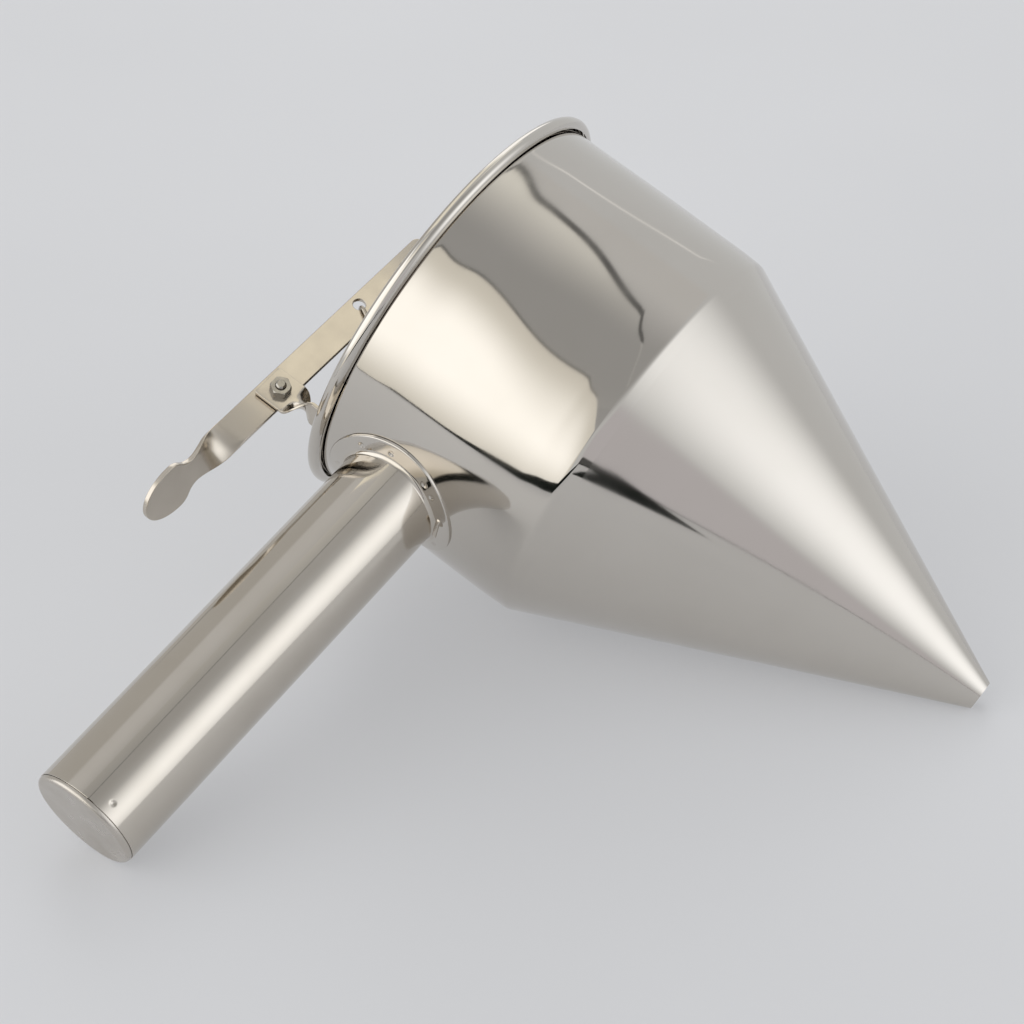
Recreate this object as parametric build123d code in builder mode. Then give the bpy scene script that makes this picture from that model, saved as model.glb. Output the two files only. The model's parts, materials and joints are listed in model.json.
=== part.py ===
from build123d import *

import math
import os

# Pancake batter dispenser, millimetres.
# Every piece is modelled upright: +Z runs up the funnel from the outlet to the mouth,
# +X runs out along the handle, and the lever turns about an axis along Y.
# At the end the whole tool is laid down the way it rests on a table: on one side of
# the cone and on the lower edge of the handle's end.

# ---------------------------------------------------------------- driving dimensions
# Funnel
bowl_radius = 62.5          # outside of the straight upper part
bowl_height = 67.6          # shoulder to the middle of the rolled rim
cone_height = 124.0         # outlet to shoulder
outlet_radius = 4.5         # outside of the cut-off tip
sheet = 0.7                 # sheet the bowl and the cone are made of
shoulder_bend_radius = 5.0  # outside of the bend between bowl and cone
shoulder_lip = 3.0          # length of the bowl's turned-in edge, along the cone
rim_roll_radius = 2.0       # outside of the rolled rim
rim_roll_turn = 285.0       # degrees the edge is rolled through

# Handle
handle_radius = 16.0
handle_wall = 0.8
handle_length = 126.4       # bowl wall to the end of the tube
handle_drop = 26.5          # handle axis below the middle of the rolled rim
flange_radius = 21.6
flange_thickness = 0.8
flange_edge_radius = 0.25
flange_weld_ring = 18.6     # radius of the circle of spot welds
flange_weld_angles = (43, 11, -29, -42, -70, -112, -150, 170, 137, 97)
weld_dimple_radius = 1.0
weld_dimple_depth = 0.3
root_weld_radius = 1.2      # fillet weld round the tube's root
cap_radius = 15.8
cap_lip = 1.7               # how far the cap stands out of the tube
cap_edge_radius = 1.2
cap_plate = 1.2
cap_skirt_length = 6.0
cap_skirt_wall = 0.8
cap_fit = 0.05              # radial, skirt in the tube
cap_joint_gap = 0.15
crimp_from_end = 3.4        # crimps that hold the cap, from the tube's end
crimp_angles = (-23, 97, 217)
crimp_radius = 0.9
crimp_depth = 0.3

# Twisted strips
twist_steps = 6             # sections through each twist

# Lever and its pivot
pivot_inside_bowl = 4.5     # pivot to the bowl's outside
pivot_above_rim = 18.1
lever_width = 9.5
lever_thickness = 1.5
lever_slope = 1.4           # degrees, outer end high
lever_centre_above_pivot = 1.5
lever_past_axis = 11.0
lever_end_radius = 2.5
twist_start = 17.2          # from the pivot
twist_length = 17.8
lever_twist = 76.0          # degrees
pad_length = 19.8
pad_width = 17.2
pad_widest = 8.0            # from the pad's neck
spring_hole_from_axis = 19.5
spring_hole_above_middle = 1.4

# Bracket
bracket_width = 11.0
bracket_thickness = 1.2
ear_above_pivot = 5.0
ear_corner_radius = 0.6
bracket_twist_drop = 4.2    # pivot to the start of the twist
bracket_twist_length = 7.6
bracket_lean = 0.6          # sideways, over the twist
joggle_below_rim = 2.0
joggle_height = 9.0
bracket_wall_gap = 0.1
tab_below_rim = 44.0
tab_reach = 9.5             # wall to the tab's edge
tab_bend_radius = 1.2       # inside of the bend
tab_corner_radius = 2.0
tab_hole_radius = 1.3
tab_hole_edge = 2.2         # tab's edge to the hole

# Pivot fasteners, M3
bolt_radius = 1.5
bolt_head_radius = 2.75
bolt_head_height = 1.9
bolt_slot_width = 0.8
bolt_slot_depth = 0.9
bolt_past_nut = 1.0
bolt_end_chamfer = 0.4
nut_across_flats = 5.5
nut_height = 2.4
nut_corner_cut = 0.35
washer_radius = 3.0
washer_thickness = 0.4
pivot_play = 0.06           # radial, lever on bolt
bolt_clearance = 0.05       # radial, ear and washer on bolt
side_play = 0.1             # axial, each side of the lever

# Plug rod and plug
rod_radius = 1.6
rod_hook_radius = 3.0       # bend of the hook, middle of the rod
rod_hook_reach = 4.0        # hook's arms beside the lever's middle
rod_hook_tail = 2.5
rod_hole_play = 0.2         # radial, rod in the lever's hole
rod_arm_length = 9.0        # lever's hole to the top of the sideways bend
rod_bend_height = 7.0
plug_seat_gap = 0.15        # square to the cone
plug_recess = 0.8           # nose above the outlet's edge
plug_cone_height = 7.5
plug_collar_height = 2.5
plug_edge_radius = 0.6
plug_neck_radius = 3.2
plug_neck_height = 7.0
rod_socket_depth = 8.0
rod_socket_fit = 0.02       # radial

# Return spring
spring_wire_radius = 0.6
spring_coil_radius = 4.0    # to the middle of the wire
spring_turns = 16
spring_upper_arm = 16.0     # lever's hole to the first coil
spring_lower_arm = 11.0     # last coil to the tab
spring_hook_radius = 2.3    # to the middle of the wire
spring_hook_turn = 200.0    # degrees each hook bends through
spring_hook_bend = 3.5      # height in which the wire turns from hook to coil
spring_lead = 40.0          # degrees of coil taken up by that bend
spring_hole_radius = 1.9    # in the lever
spring_seat_gap = 0.03

# ------------------------------------------------------------------ derived places
rim_z = cone_height + bowl_height
inner_radius = bowl_radius - sheet
half_angle = math.degrees(math.atan2(bowl_radius - outlet_radius, cone_height))
cone_sin = math.sin(math.radians(half_angle))
cone_cos = math.cos(math.radians(half_angle))
handle_z = rim_z - handle_drop
handle_end_x = bowl_radius + handle_length
pivot_from_axis = bowl_radius - pivot_inside_bowl
pivot_z = rim_z + pivot_above_rim


def cone_inner_radius(z):
    """Radius of the cone's inner face at height z above the outlet."""
    return outlet_radius + z * cone_sin / cone_cos - sheet / cone_cos


def cone_point(along, inward):
    """Section point of the cone: along it from the shoulder corner, in from its outside."""
    r = bowl_radius - along * cone_sin - inward * cone_cos
    z = cone_height - along * cone_cos + inward * cone_sin
    return (r, z)


def eased(share):
    """Smooth step from 0 to 1, level at both ends, for twisted strips."""
    return share * share * (3 - 2 * share)


# ------------------------------------------------------------------ funnel
# The bowl is one spun shell: rolled rim, straight wall, and a bend into the cone's slope.
bend_tangent = shoulder_bend_radius * math.tan(math.radians(half_angle / 2))
bend_middle = (bowl_radius - shoulder_bend_radius, cone_height + bend_tangent)
roll_middle = (inner_radius + rim_roll_radius, rim_z)
lip_end = bend_tangent + shoulder_lip

with BuildPart() as bowl:
    with BuildSketch(Plane.XZ):
        with BuildLine():
            Line((bowl_radius, bend_middle[1]), (bowl_radius, rim_z))
            under = CenterArc(roll_middle, rim_roll_radius - sheet, 180, -rim_roll_turn)
            over = CenterArc(roll_middle, rim_roll_radius, 180, -rim_roll_turn)
            Line(under @ 1, over @ 1)
            Line(over @ 0, (inner_radius, bend_middle[1]))
            inner_bend = CenterArc(bend_middle, shoulder_bend_radius - sheet, 0, -half_angle)
            Line(inner_bend @ 1, cone_point(lip_end, sheet))
            Line(cone_point(lip_end, sheet), cone_point(lip_end, 0))
            Line(cone_point(lip_end, 0), cone_point(bend_tangent, 0))
            CenterArc(bend_middle, shoulder_bend_radius, -half_angle, half_angle)
        make_face()
    revolve(axis=Axis.Z)

with BuildPart() as cone:
    with BuildSketch(Plane.XZ):
        with BuildLine():
            Polyline(
                cone_point(lip_end, 0),
                cone_point(lip_end, sheet),
                (cone_inner_radius(0), 0),
                (outlet_radius, 0),
                close=True,
            )
        make_face()
    revolve(axis=Axis.Z)

# ------------------------------------------------------------------ handle
# The flange is a disc bent round the bowl, and the tube's root is cut to sit on it.
flange_face = bowl_radius + flange_thickness
handle_axis = Axis((0, 0, handle_z), (1, 0, 0))


def across_handle(x, angle=0.0):
    """Plane square to the handle at x, its own X turned by angle from +Y towards +Z."""
    turn = math.radians(angle)
    side = (0, math.cos(turn), math.sin(turn))
    return Plane(origin=(x, 0, handle_z), x_dir=side, z_dir=(1, 0, 0))


def dimple_ball(radius, depth):
    """Radius of the ball whose print has the given radius and depth."""
    return (radius**2 + depth**2) / (2 * depth)


weld_ball = dimple_ball(weld_dimple_radius, weld_dimple_depth)

with BuildPart() as handle_flange:
    with BuildSketch(across_handle(0)):
        Circle(flange_radius)
    extrude(amount=2 * bowl_radius)
    with BuildSketch(Plane.XY.offset(handle_z - flange_radius)):
        Circle(flange_face)
        Circle(bowl_radius, mode=Mode.SUBTRACT)
    extrude(amount=2 * flange_radius, mode=Mode.INTERSECT)
    outer_face = handle_flange.faces().sort_by(SortBy.AREA)[-1]
    fillet(outer_face.edges(), flange_edge_radius)
    for weld_angle in flange_weld_angles:
        weld_y = flange_weld_ring * math.cos(math.radians(weld_angle))
        weld_z = handle_z + flange_weld_ring * math.sin(math.radians(weld_angle))
        clock = math.asin(weld_y / flange_face)
        ball_from_axis = flange_face + weld_ball - weld_dimple_depth
        with Locations((ball_from_axis * math.cos(clock), ball_from_axis * math.sin(clock), weld_z)):
            Sphere(weld_ball, mode=Mode.SUBTRACT)

crimp_ball = dimple_ball(crimp_radius, crimp_depth)

with BuildPart() as handle_tube:
    with BuildSketch(Plane.XY.offset(handle_z - 2 * handle_radius)):
        Circle(flange_face)
    extrude(amount=4 * handle_radius)
    with BuildSketch(across_handle(0)):
        Circle(handle_radius)
    extrude(amount=handle_end_x)
    root = handle_tube.edges().filter_by(lambda edge: abs(edge.center().X - flange_face) < 2)
    fillet(root.filter_by(GeomType.CIRCLE, reverse=True), root_weld_radius)
    with BuildSketch(Plane.XY.offset(handle_z - 2 * handle_radius)):
        Circle(flange_face)
    extrude(amount=4 * handle_radius, mode=Mode.SUBTRACT)
    with BuildSketch(across_handle(0)):
        Circle(handle_radius - handle_wall)
    extrude(amount=handle_end_x, mode=Mode.SUBTRACT)
    for crimp_angle in crimp_angles:
        crimp_plane = across_handle(handle_end_x - crimp_from_end, crimp_angle)
        crimp_place = crimp_plane.from_local_coords((handle_radius + crimp_ball - crimp_depth, 0, 0))
        with Locations(crimp_place):
            Sphere(crimp_ball, mode=Mode.SUBTRACT)

# The cap is a shallow cup pushed into the tube's end. Its section is drawn from the end
# of the tube outwards and from the handle's axis upwards.
cap_section = Plane(origin=(handle_end_x, 0, handle_z), x_dir=(1, 0, 0), z_dir=(0, -1, 0))
skirt_radius = handle_radius - handle_wall - cap_fit

with BuildPart() as handle_cap:
    with BuildSketch(cap_section):
        with BuildLine():
            face = Line((cap_lip, 0), (cap_lip, cap_radius - cap_edge_radius))
            edge_middle = (cap_lip - cap_edge_radius, cap_radius - cap_edge_radius)
            edge = CenterArc(edge_middle, cap_edge_radius, 0, 90)
            Polyline(
                edge @ 1,
                (cap_joint_gap, cap_radius),
                (cap_joint_gap, skirt_radius),
                (-cap_skirt_length, skirt_radius),
                (-cap_skirt_length, skirt_radius - cap_skirt_wall),
                (cap_lip - cap_plate, skirt_radius - cap_skirt_wall),
                (cap_lip - cap_plate, 0),
                face @ 0,
            )
        make_face()
    revolve(axis=handle_axis)

# ------------------------------------------------------------------ lever
# Along the lever's middle line, square to it in its own plane, and out of its side.
lever_plane = Plane(
    origin=(pivot_from_axis, 0, pivot_z),
    x_dir=(math.cos(math.radians(lever_slope)), 0, math.sin(math.radians(lever_slope))),
    z_dir=(0, -1, 0),
)


def along_lever(x, up):
    """Distance along the lever, from the pivot, of its point at x and at a height up."""
    slope = math.radians(lever_slope)
    return (x - pivot_from_axis + up * math.sin(slope)) / math.cos(slope)


def across_lever(distance, turn):
    """Plane square to the lever at a distance from the pivot, turned with the strip."""
    middle = lever_plane.from_local_coords((distance, lever_centre_above_pivot, 0))
    turned = math.radians(turn)
    across = lever_plane.y_dir * math.cos(turned) + Vector(0, 1, 0) * math.sin(turned)
    return Plane(origin=middle, x_dir=across, z_dir=lever_plane.x_dir)


inner_end = along_lever(-lever_past_axis, lever_centre_above_pivot)
rod_hole = (along_lever(0, lever_centre_above_pivot), lever_centre_above_pivot)
spring_hole_up = lever_centre_above_pivot + spring_hole_above_middle
spring_hole = (along_lever(spring_hole_from_axis, spring_hole_up), spring_hole_up)
pad_frame = across_lever(twist_start + twist_length, lever_twist)
pad_plane = Plane(origin=pad_frame.origin, x_dir=pad_frame.z_dir, z_dir=pad_frame.y_dir * -1)

with BuildPart() as lever:
    with BuildSketch(lever_plane) as lever_flat:
        with Locations((inner_end, lever_centre_above_pivot)):
            Rectangle(twist_start - inner_end, lever_width, align=(Align.MIN, Align.CENTER))
        fillet(lever_flat.vertices().group_by(Axis.X)[0], lever_end_radius)
        Circle(bolt_radius + pivot_play, mode=Mode.SUBTRACT)
        with Locations(rod_hole):
            Circle(rod_radius + rod_hole_play, mode=Mode.SUBTRACT)
        with Locations(spring_hole):
            Circle(spring_hole_radius, mode=Mode.SUBTRACT)
    extrude(amount=lever_thickness / 2, both=True)
    for step in range(twist_steps + 1):
        share = step / twist_steps
        with BuildSketch(across_lever(twist_start + twist_length * share, lever_twist * eased(share))):
            Rectangle(lever_width, lever_thickness)
    loft()
    with BuildSketch(pad_plane):
        with BuildLine():
            Line((0, 0), (0, lever_width / 2))
            Spline((0, lever_width / 2), (pad_widest, pad_width / 2), tangents=((1, 0), (1, 0)))
            EllipticalCenterArc((pad_widest, 0), pad_length - pad_widest, pad_width / 2, arc_size=90)
            mirror(about=Plane.XZ)
        make_face()
    extrude(amount=lever_thickness / 2, both=True)

# ------------------------------------------------------------------ bracket
# A strip: an ear beside the lever, a quarter twist, a joggle out to the bowl's wall, a
# leg lying on the wall, and a tab turned in at its foot for the spring.
pivot_plane = Plane(origin=(pivot_from_axis, 0, pivot_z), x_dir=(-1, 0, 0), z_dir=(0, 1, 0))
washer_face = lever_thickness / 2 + side_play
ear_face = washer_face + washer_thickness
nut_face = ear_face + bracket_thickness
strip_y = ear_face + bracket_thickness / 2 + bracket_lean
twist_top_z = pivot_z - bracket_twist_drop
twist_foot_z = twist_top_z - bracket_twist_length
joggle_top_z = rim_z - joggle_below_rim
joggle_foot_z = joggle_top_z - joggle_height
tab_z = rim_z - tab_below_rim
leg_radius = inner_radius - bracket_wall_gap


def strip_section(share):
    """Plane across the bracket's twist, from the ear's foot to the flat strip below."""
    turn = math.radians(90 * eased(share))
    lean = bracket_lean * eased(share)
    return Plane(
        origin=(pivot_from_axis, strip_y - bracket_lean + lean, twist_top_z - share * bracket_twist_length),
        x_dir=(math.cos(turn), -math.sin(turn), 0),
        z_dir=(0, 0, 1),
    )


def leg_outline():
    """Draw the leg's section in the open sketch: a piece of ring lying on the bowl's wall."""
    Circle(leg_radius)
    Circle(leg_radius - bracket_thickness, mode=Mode.SUBTRACT)
    with Locations((0, strip_y)):
        Rectangle(leg_radius, bracket_width, align=(Align.MIN, Align.CENTER), mode=Mode.INTERSECT)


def wall_edges():
    """The bracket's edges that curve with the bowl's wall, lowest first."""
    arcs = lever_bracket.edges().filter_by(GeomType.CIRCLE)
    return arcs.filter_by(lambda edge: edge.radius > leg_radius / 2).sort_by(Axis.Z)


with BuildPart() as lever_bracket:
    with BuildSketch(pivot_plane.offset(ear_face)) as ear:
        with Locations((0, ear_above_pivot)):
            ear_height = ear_above_pivot + bracket_twist_drop
            Rectangle(bracket_width, ear_height, align=(Align.CENTER, Align.MAX))
        fillet(ear.vertices().group_by(Axis.Y)[-1], ear_corner_radius)
        Circle(bolt_radius + bolt_clearance, mode=Mode.SUBTRACT)
    extrude(amount=bracket_thickness)
    for step in range(twist_steps + 1):
        with BuildSketch(strip_section(step / twist_steps)):
            Rectangle(bracket_width, bracket_thickness)
    loft()
    with BuildSketch(strip_section(1)):
        Rectangle(bracket_width, bracket_thickness)
    extrude(amount=joggle_top_z - twist_foot_z)
    with BuildSketch(Plane.XY.offset(joggle_top_z)):
        with Locations((pivot_from_axis, strip_y)):
            Rectangle(bracket_thickness, bracket_width)
    with BuildSketch(Plane.XY.offset(joggle_foot_z)):
        leg_outline()
    loft()
    with BuildSketch(Plane.XY.offset(joggle_foot_z)):
        leg_outline()
    extrude(amount=tab_z - joggle_foot_z)
    with BuildSketch(Plane.XY.offset(tab_z)) as tab:
        Circle(leg_radius)
        with Locations((inner_radius - tab_reach, strip_y)):
            Rectangle(tab_reach, bracket_width, align=(Align.MIN, Align.CENTER), mode=Mode.INTERSECT)
        fillet(tab.vertices().group_by(Axis.X)[0], tab_corner_radius)
        with Locations((inner_radius - tab_reach + tab_hole_edge + tab_hole_radius, 0)):
            Circle(tab_hole_radius, mode=Mode.SUBTRACT)
    extrude(amount=bracket_thickness)
    fillet(wall_edges()[1], tab_bend_radius)
    fillet(wall_edges()[0], tab_bend_radius + bracket_thickness)

# ------------------------------------------------------------------ pivot fasteners
head_plane = pivot_plane.offset(-washer_face)

with BuildPart() as pivot_bolt:
    with BuildSketch(head_plane):
        Circle(bolt_head_radius)
    extrude(amount=-bolt_head_height)
    fillet(pivot_bolt.edges().group_by(Axis.Y)[0], bolt_head_height / 2)
    with BuildSketch(head_plane.offset(-bolt_head_height)):
        Rectangle(2 * bolt_head_radius, bolt_slot_width)
    extrude(amount=bolt_slot_depth, mode=Mode.SUBTRACT)
    with BuildSketch(head_plane):
        Circle(bolt_radius)
    extrude(amount=washer_face + nut_face + nut_height + bolt_past_nut)
    chamfer(pivot_bolt.edges().group_by(Axis.Y)[-1], bolt_end_chamfer)

with BuildPart() as pivot_washer:
    with BuildSketch(pivot_plane.offset(washer_face)):
        Circle(washer_radius)
        Circle(bolt_radius + bolt_clearance, mode=Mode.SUBTRACT)
    extrude(amount=washer_thickness)

with BuildPart() as pivot_nut:
    with BuildSketch(pivot_plane.offset(nut_face)):
        Circle(nut_across_flats / math.sqrt(3))
    extrude(amount=nut_height)
    chamfer(pivot_nut.edges().filter_by(GeomType.CIRCLE), nut_corner_cut)
    with BuildSketch(pivot_plane.offset(nut_face)):
        RegularPolygon(nut_across_flats / 2, 6, major_radius=False)
        Circle(bolt_radius, mode=Mode.SUBTRACT)
    extrude(amount=nut_height, mode=Mode.INTERSECT)

# ------------------------------------------------------------------ plug and its rod
plug_shoulder_z = plug_recess + plug_cone_height
plug_nose_radius = cone_inner_radius(plug_recess) - plug_seat_gap / cone_cos
plug_radius = cone_inner_radius(plug_shoulder_z) - plug_seat_gap / cone_cos
plug_neck_z = plug_shoulder_z + plug_collar_height
plug_top_z = plug_neck_z + plug_neck_height
rod_foot_z = plug_top_z - rod_socket_depth

with BuildPart() as valve_plug:
    with BuildSketch(Plane.XZ) as plug_section:
        with BuildLine():
            Polyline(
                (0, plug_recess),
                (plug_nose_radius, plug_recess),
                (plug_radius, plug_shoulder_z),
                (plug_radius, plug_neck_z),
                (plug_neck_radius, plug_neck_z),
                (plug_neck_radius, plug_top_z),
                (0, plug_top_z),
                close=True,
            )
        make_face()
        fillet(plug_section.vertices().sort_by(Axis.X)[-2:], plug_edge_radius)
    revolve(axis=Axis.Z)
    with BuildSketch(Plane.XY.offset(rod_foot_z)):
        Circle(rod_radius + rod_socket_fit)
    extrude(amount=rod_socket_depth, mode=Mode.SUBTRACT)

hook_z = lever_plane.from_local_coords((*rod_hole, 0)).Z
arm_foot_z = hook_z - rod_arm_length
hook_inset = rod_hook_reach - rod_hook_radius

with BuildPart() as plug_rod:
    with BuildLine(Plane.YZ) as rod_line:
        shank = Line((0, rod_foot_z), (0, arm_foot_z - rod_bend_height))
        sway = Spline(shank @ 1, (-rod_hook_reach, arm_foot_z), tangents=((0, 1), (0, 1)))
        arm = Line(sway @ 1, (-rod_hook_reach, hook_z - rod_hook_radius))
        near = CenterArc((-hook_inset, hook_z - rod_hook_radius), rod_hook_radius, 180, -90)
        crown = Line(near @ 1, (hook_inset, hook_z))
        far = CenterArc((hook_inset, hook_z - rod_hook_radius), rod_hook_radius, 90, -90)
        Line(far @ 1, (rod_hook_reach, hook_z - rod_hook_radius - rod_hook_tail))
    with BuildSketch(Plane.XY.offset(rod_foot_z)):
        Circle(rod_radius)
    sweep(path=rod_line.line)

# ------------------------------------------------------------------ return spring
# Drawn upright, from the lever's hole at its origin up to the tab, with +X out of the
# lever's side: the first hook crosses the lever, the last goes round the tab's edge.
# Then it is turned into its place.
tab_edge_x = inner_radius - tab_reach
spring_top = lever_plane.from_local_coords((*spring_hole, 0))
spring_foot = Vector(tab_edge_x + tab_hole_edge / 2, 0, tab_z + bracket_thickness / 2)
spring_run = spring_foot - spring_top
spring_plane = Plane(origin=spring_top, x_dir=(0, 1, 0), z_dir=spring_run)
hook_inside = spring_hook_radius - spring_wire_radius
crown_drop = hook_inside - math.sqrt(hook_inside**2 - (lever_thickness / 2) ** 2)
top_seat = spring_hole_radius - spring_wire_radius - crown_drop - spring_seat_gap
tab_corner = Vector(tab_hole_edge / 2, 0, -bracket_thickness / 2)
corner_along = tab_corner.dot(spring_run.normalized())
corner_across = math.sqrt(tab_corner.length**2 - corner_along**2)
foot_seat = math.sqrt((hook_inside - spring_seat_gap) ** 2 - corner_across**2) - corner_along
top_loop = top_seat + spring_hook_radius
foot_loop = spring_run.length - foot_seat
coil_top = spring_upper_arm
coil_foot = spring_run.length - spring_lower_arm
coil_turns = spring_turns + (90 - 2 * spring_lead) / 360
open_turn = math.radians(spring_hook_turn - 90)
open_side = spring_hook_radius * math.sin(open_turn)
open_drop = spring_hook_radius * math.cos(open_turn)


with BuildLine() as coil_line:
    Helix(
        (coil_foot - coil_top) / coil_turns,
        coil_foot - coil_top,
        spring_coil_radius,
        center=(0, 0, coil_top),
    )
coil = coil_line.line.rotate(Axis.Z, spring_lead)

with BuildLine() as top_hook:
    top_arc = ThreePointArc(
        (-open_side, 0, top_loop - open_drop),
        (0, 0, top_loop - spring_hook_radius),
        (spring_hook_radius, 0, top_loop),
    )
    top_arm = Line(top_arc @ 1, (spring_hook_radius, 0, coil_top - spring_hook_bend))
    Spline(top_arm @ 1, coil @ 0, tangents=((0, 0, 1), coil % 0))

with BuildLine() as foot_hook:
    foot_arm_start = (0, spring_hook_radius, coil_foot + spring_hook_bend)
    Spline(coil @ 1, foot_arm_start, tangents=(coil % 1, (0, 0, 1)))
    foot_arm = Line(foot_arm_start, (0, spring_hook_radius, foot_loop))
    ThreePointArc(
        foot_arm @ 1,
        (0, 0, foot_loop + spring_hook_radius),
        (0, -open_side, foot_loop + open_drop),
    )

with BuildPart() as return_spring:
    for wire_path in (coil, top_hook.line, foot_hook.line):
        with BuildSketch(Plane(origin=wire_path @ 0, z_dir=wire_path % 0)):
            Circle(spring_wire_radius)
        sweep(path=wire_path, is_frenet=wire_path is coil)
return_spring.part.move(spring_plane.location)

# ------------------------------------------------------------------ resting place
# The tool lies on the underside of its cone and on the lower edge of the handle's cap,
# with the outlet towards +X. The floor is Z = 0 and the origin is under the middle.
edge_ring_x = handle_end_x + cap_lip - cap_edge_radius
edge_ring_radius = cap_radius - cap_edge_radius
cone_rise = handle_z * cone_sin + outlet_radius * cone_cos - cap_edge_radius
droop = math.asin(cone_rise / math.hypot(edge_ring_x, edge_ring_radius))
droop -= math.atan2(edge_ring_radius, edge_ring_x)
lying_plane = Plane(
    origin=(0, 0, 0),
    x_dir=(
        -math.sin(droop) * cone_sin / cone_cos,
        -math.sqrt(1 - (math.sin(droop) / cone_cos) ** 2),
        -math.sin(droop),
    ),
    z_dir=(-cone_cos, 0, cone_sin),
)

pieces = {
    "bowl": bowl,
    "cone": cone,
    "handle_flange": handle_flange,
    "handle_tube": handle_tube,
    "handle_cap": handle_cap,
    "lever_bracket": lever_bracket,
    "pivot_bolt": pivot_bolt,
    "pivot_washer": pivot_washer,
    "pivot_nut": pivot_nut,
    "lever": lever,
    "plug_rod": plug_rod,
    "valve_plug": valve_plug,
    "return_spring": return_spring,
}
for piece in pieces.values():
    piece.part.move(lying_plane.location)
outline = Compound([piece.part for piece in pieces.values()]).bounding_box()
middle = outline.center()
ground = Location((-middle.X, -middle.Y, -outline.min.Z))
for piece in pieces.values():
    piece.part.move(ground)

os.makedirs("parts", exist_ok=True)
bowl.part.label = "bowl"
export_step(bowl.part, "parts/bowl.step")
cone.part.label = "cone"
export_step(cone.part, "parts/cone.step")
handle_flange.part.label = "handle_flange"
export_step(handle_flange.part, "parts/handle_flange.step")
handle_tube.part.label = "handle_tube"
export_step(handle_tube.part, "parts/handle_tube.step")
handle_cap.part.label = "handle_cap"
export_step(handle_cap.part, "parts/handle_cap.step")
lever_bracket.part.label = "lever_bracket"
export_step(lever_bracket.part, "parts/lever_bracket.step")
pivot_bolt.part.label = "pivot_bolt"
export_step(pivot_bolt.part, "parts/pivot_bolt.step")
pivot_washer.part.label = "pivot_washer"
export_step(pivot_washer.part, "parts/pivot_washer.step")
pivot_nut.part.label = "pivot_nut"
export_step(pivot_nut.part, "parts/pivot_nut.step")
lever.part.label = "lever"
export_step(lever.part, "parts/lever.step")
plug_rod.part.label = "plug_rod"
export_step(plug_rod.part, "parts/plug_rod.step")
valve_plug.part.label = "valve_plug"
export_step(valve_plug.part, "parts/valve_plug.step")
return_spring.part.label = "return_spring"
export_step(return_spring.part, "parts/return_spring.step")
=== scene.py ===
"""Pancake batter dispenser: a polished steel funnel with a tube handle and a thumb lever.

The lever turns on a bolt above the rim and lifts a rod with a plug out of the outlet; a coil
spring pulls it back. Every piece is modelled upright in millimetres, +Z up the funnel and +X out
along the handle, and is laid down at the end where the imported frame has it.
"""

import json
import logging
import math
from dataclasses import dataclass
from enum import Enum

import bmesh
import bpy
from bmesh.types import BMEdge, BMesh, BMFace, BMVert
from bpy.types import Material, Node, NodeSocket, NodeTree, Object, World
from mathutils import Euler, Matrix, Vector

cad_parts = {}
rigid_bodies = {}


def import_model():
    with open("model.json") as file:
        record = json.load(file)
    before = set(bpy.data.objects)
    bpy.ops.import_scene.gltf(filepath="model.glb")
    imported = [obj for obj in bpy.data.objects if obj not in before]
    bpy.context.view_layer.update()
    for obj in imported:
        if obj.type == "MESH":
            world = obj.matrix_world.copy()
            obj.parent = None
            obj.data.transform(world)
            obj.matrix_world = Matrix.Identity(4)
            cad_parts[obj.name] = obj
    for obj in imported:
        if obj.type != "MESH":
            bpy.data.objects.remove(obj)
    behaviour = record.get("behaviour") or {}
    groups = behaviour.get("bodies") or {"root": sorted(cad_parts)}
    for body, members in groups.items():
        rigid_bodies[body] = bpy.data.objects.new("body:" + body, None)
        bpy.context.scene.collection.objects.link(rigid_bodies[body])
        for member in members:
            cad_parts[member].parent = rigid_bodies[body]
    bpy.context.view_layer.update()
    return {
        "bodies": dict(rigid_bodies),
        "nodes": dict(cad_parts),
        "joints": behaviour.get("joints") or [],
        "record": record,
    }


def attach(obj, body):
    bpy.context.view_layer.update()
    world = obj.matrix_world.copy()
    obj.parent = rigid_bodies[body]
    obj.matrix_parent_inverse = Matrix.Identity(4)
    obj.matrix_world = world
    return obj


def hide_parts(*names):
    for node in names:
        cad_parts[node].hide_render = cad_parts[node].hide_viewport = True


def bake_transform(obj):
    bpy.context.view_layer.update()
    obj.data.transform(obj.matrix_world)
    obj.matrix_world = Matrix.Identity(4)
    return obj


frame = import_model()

MM = 0.001
SAME_POINT = 1e-3  # mm, vertices closer than this are one
ON_FACE = 1e-2  # mm, vertices closer than this to a face lie on it
CURVE_REACH = 1.25 / 3  # how far the handles of a smooth curve reach, as a share of its length
ALONG = Vector((1.0, 0.0, 0.0))  # out along the handle
SIDE = Vector((0.0, 1.0, 0.0))  # along the lever's pivot
UP = Vector((0.0, 0.0, 1.0))  # up the funnel

log = logging.getLogger("dispenser")


class Body(Enum):
    """The parts of the tool that move as one."""

    FUNNEL = "funnel"
    LEVER = "lever"
    PLUG = "plug"


class Lay(Enum):
    """Which way the fine polishing lines of a finish repeat, in the upright tool."""

    ROUND_FUNNEL = (60.0, 60.0, 1.0)
    ROUND_HANDLE = (1.0, 60.0, 60.0)
    ALONG_STRIP = (60.0, 1.0, 1.0)
    ACROSS_FACE = (1.0, 40.0, 1.0)
    EVEN = (1.0, 1.0, 1.0)


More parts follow.
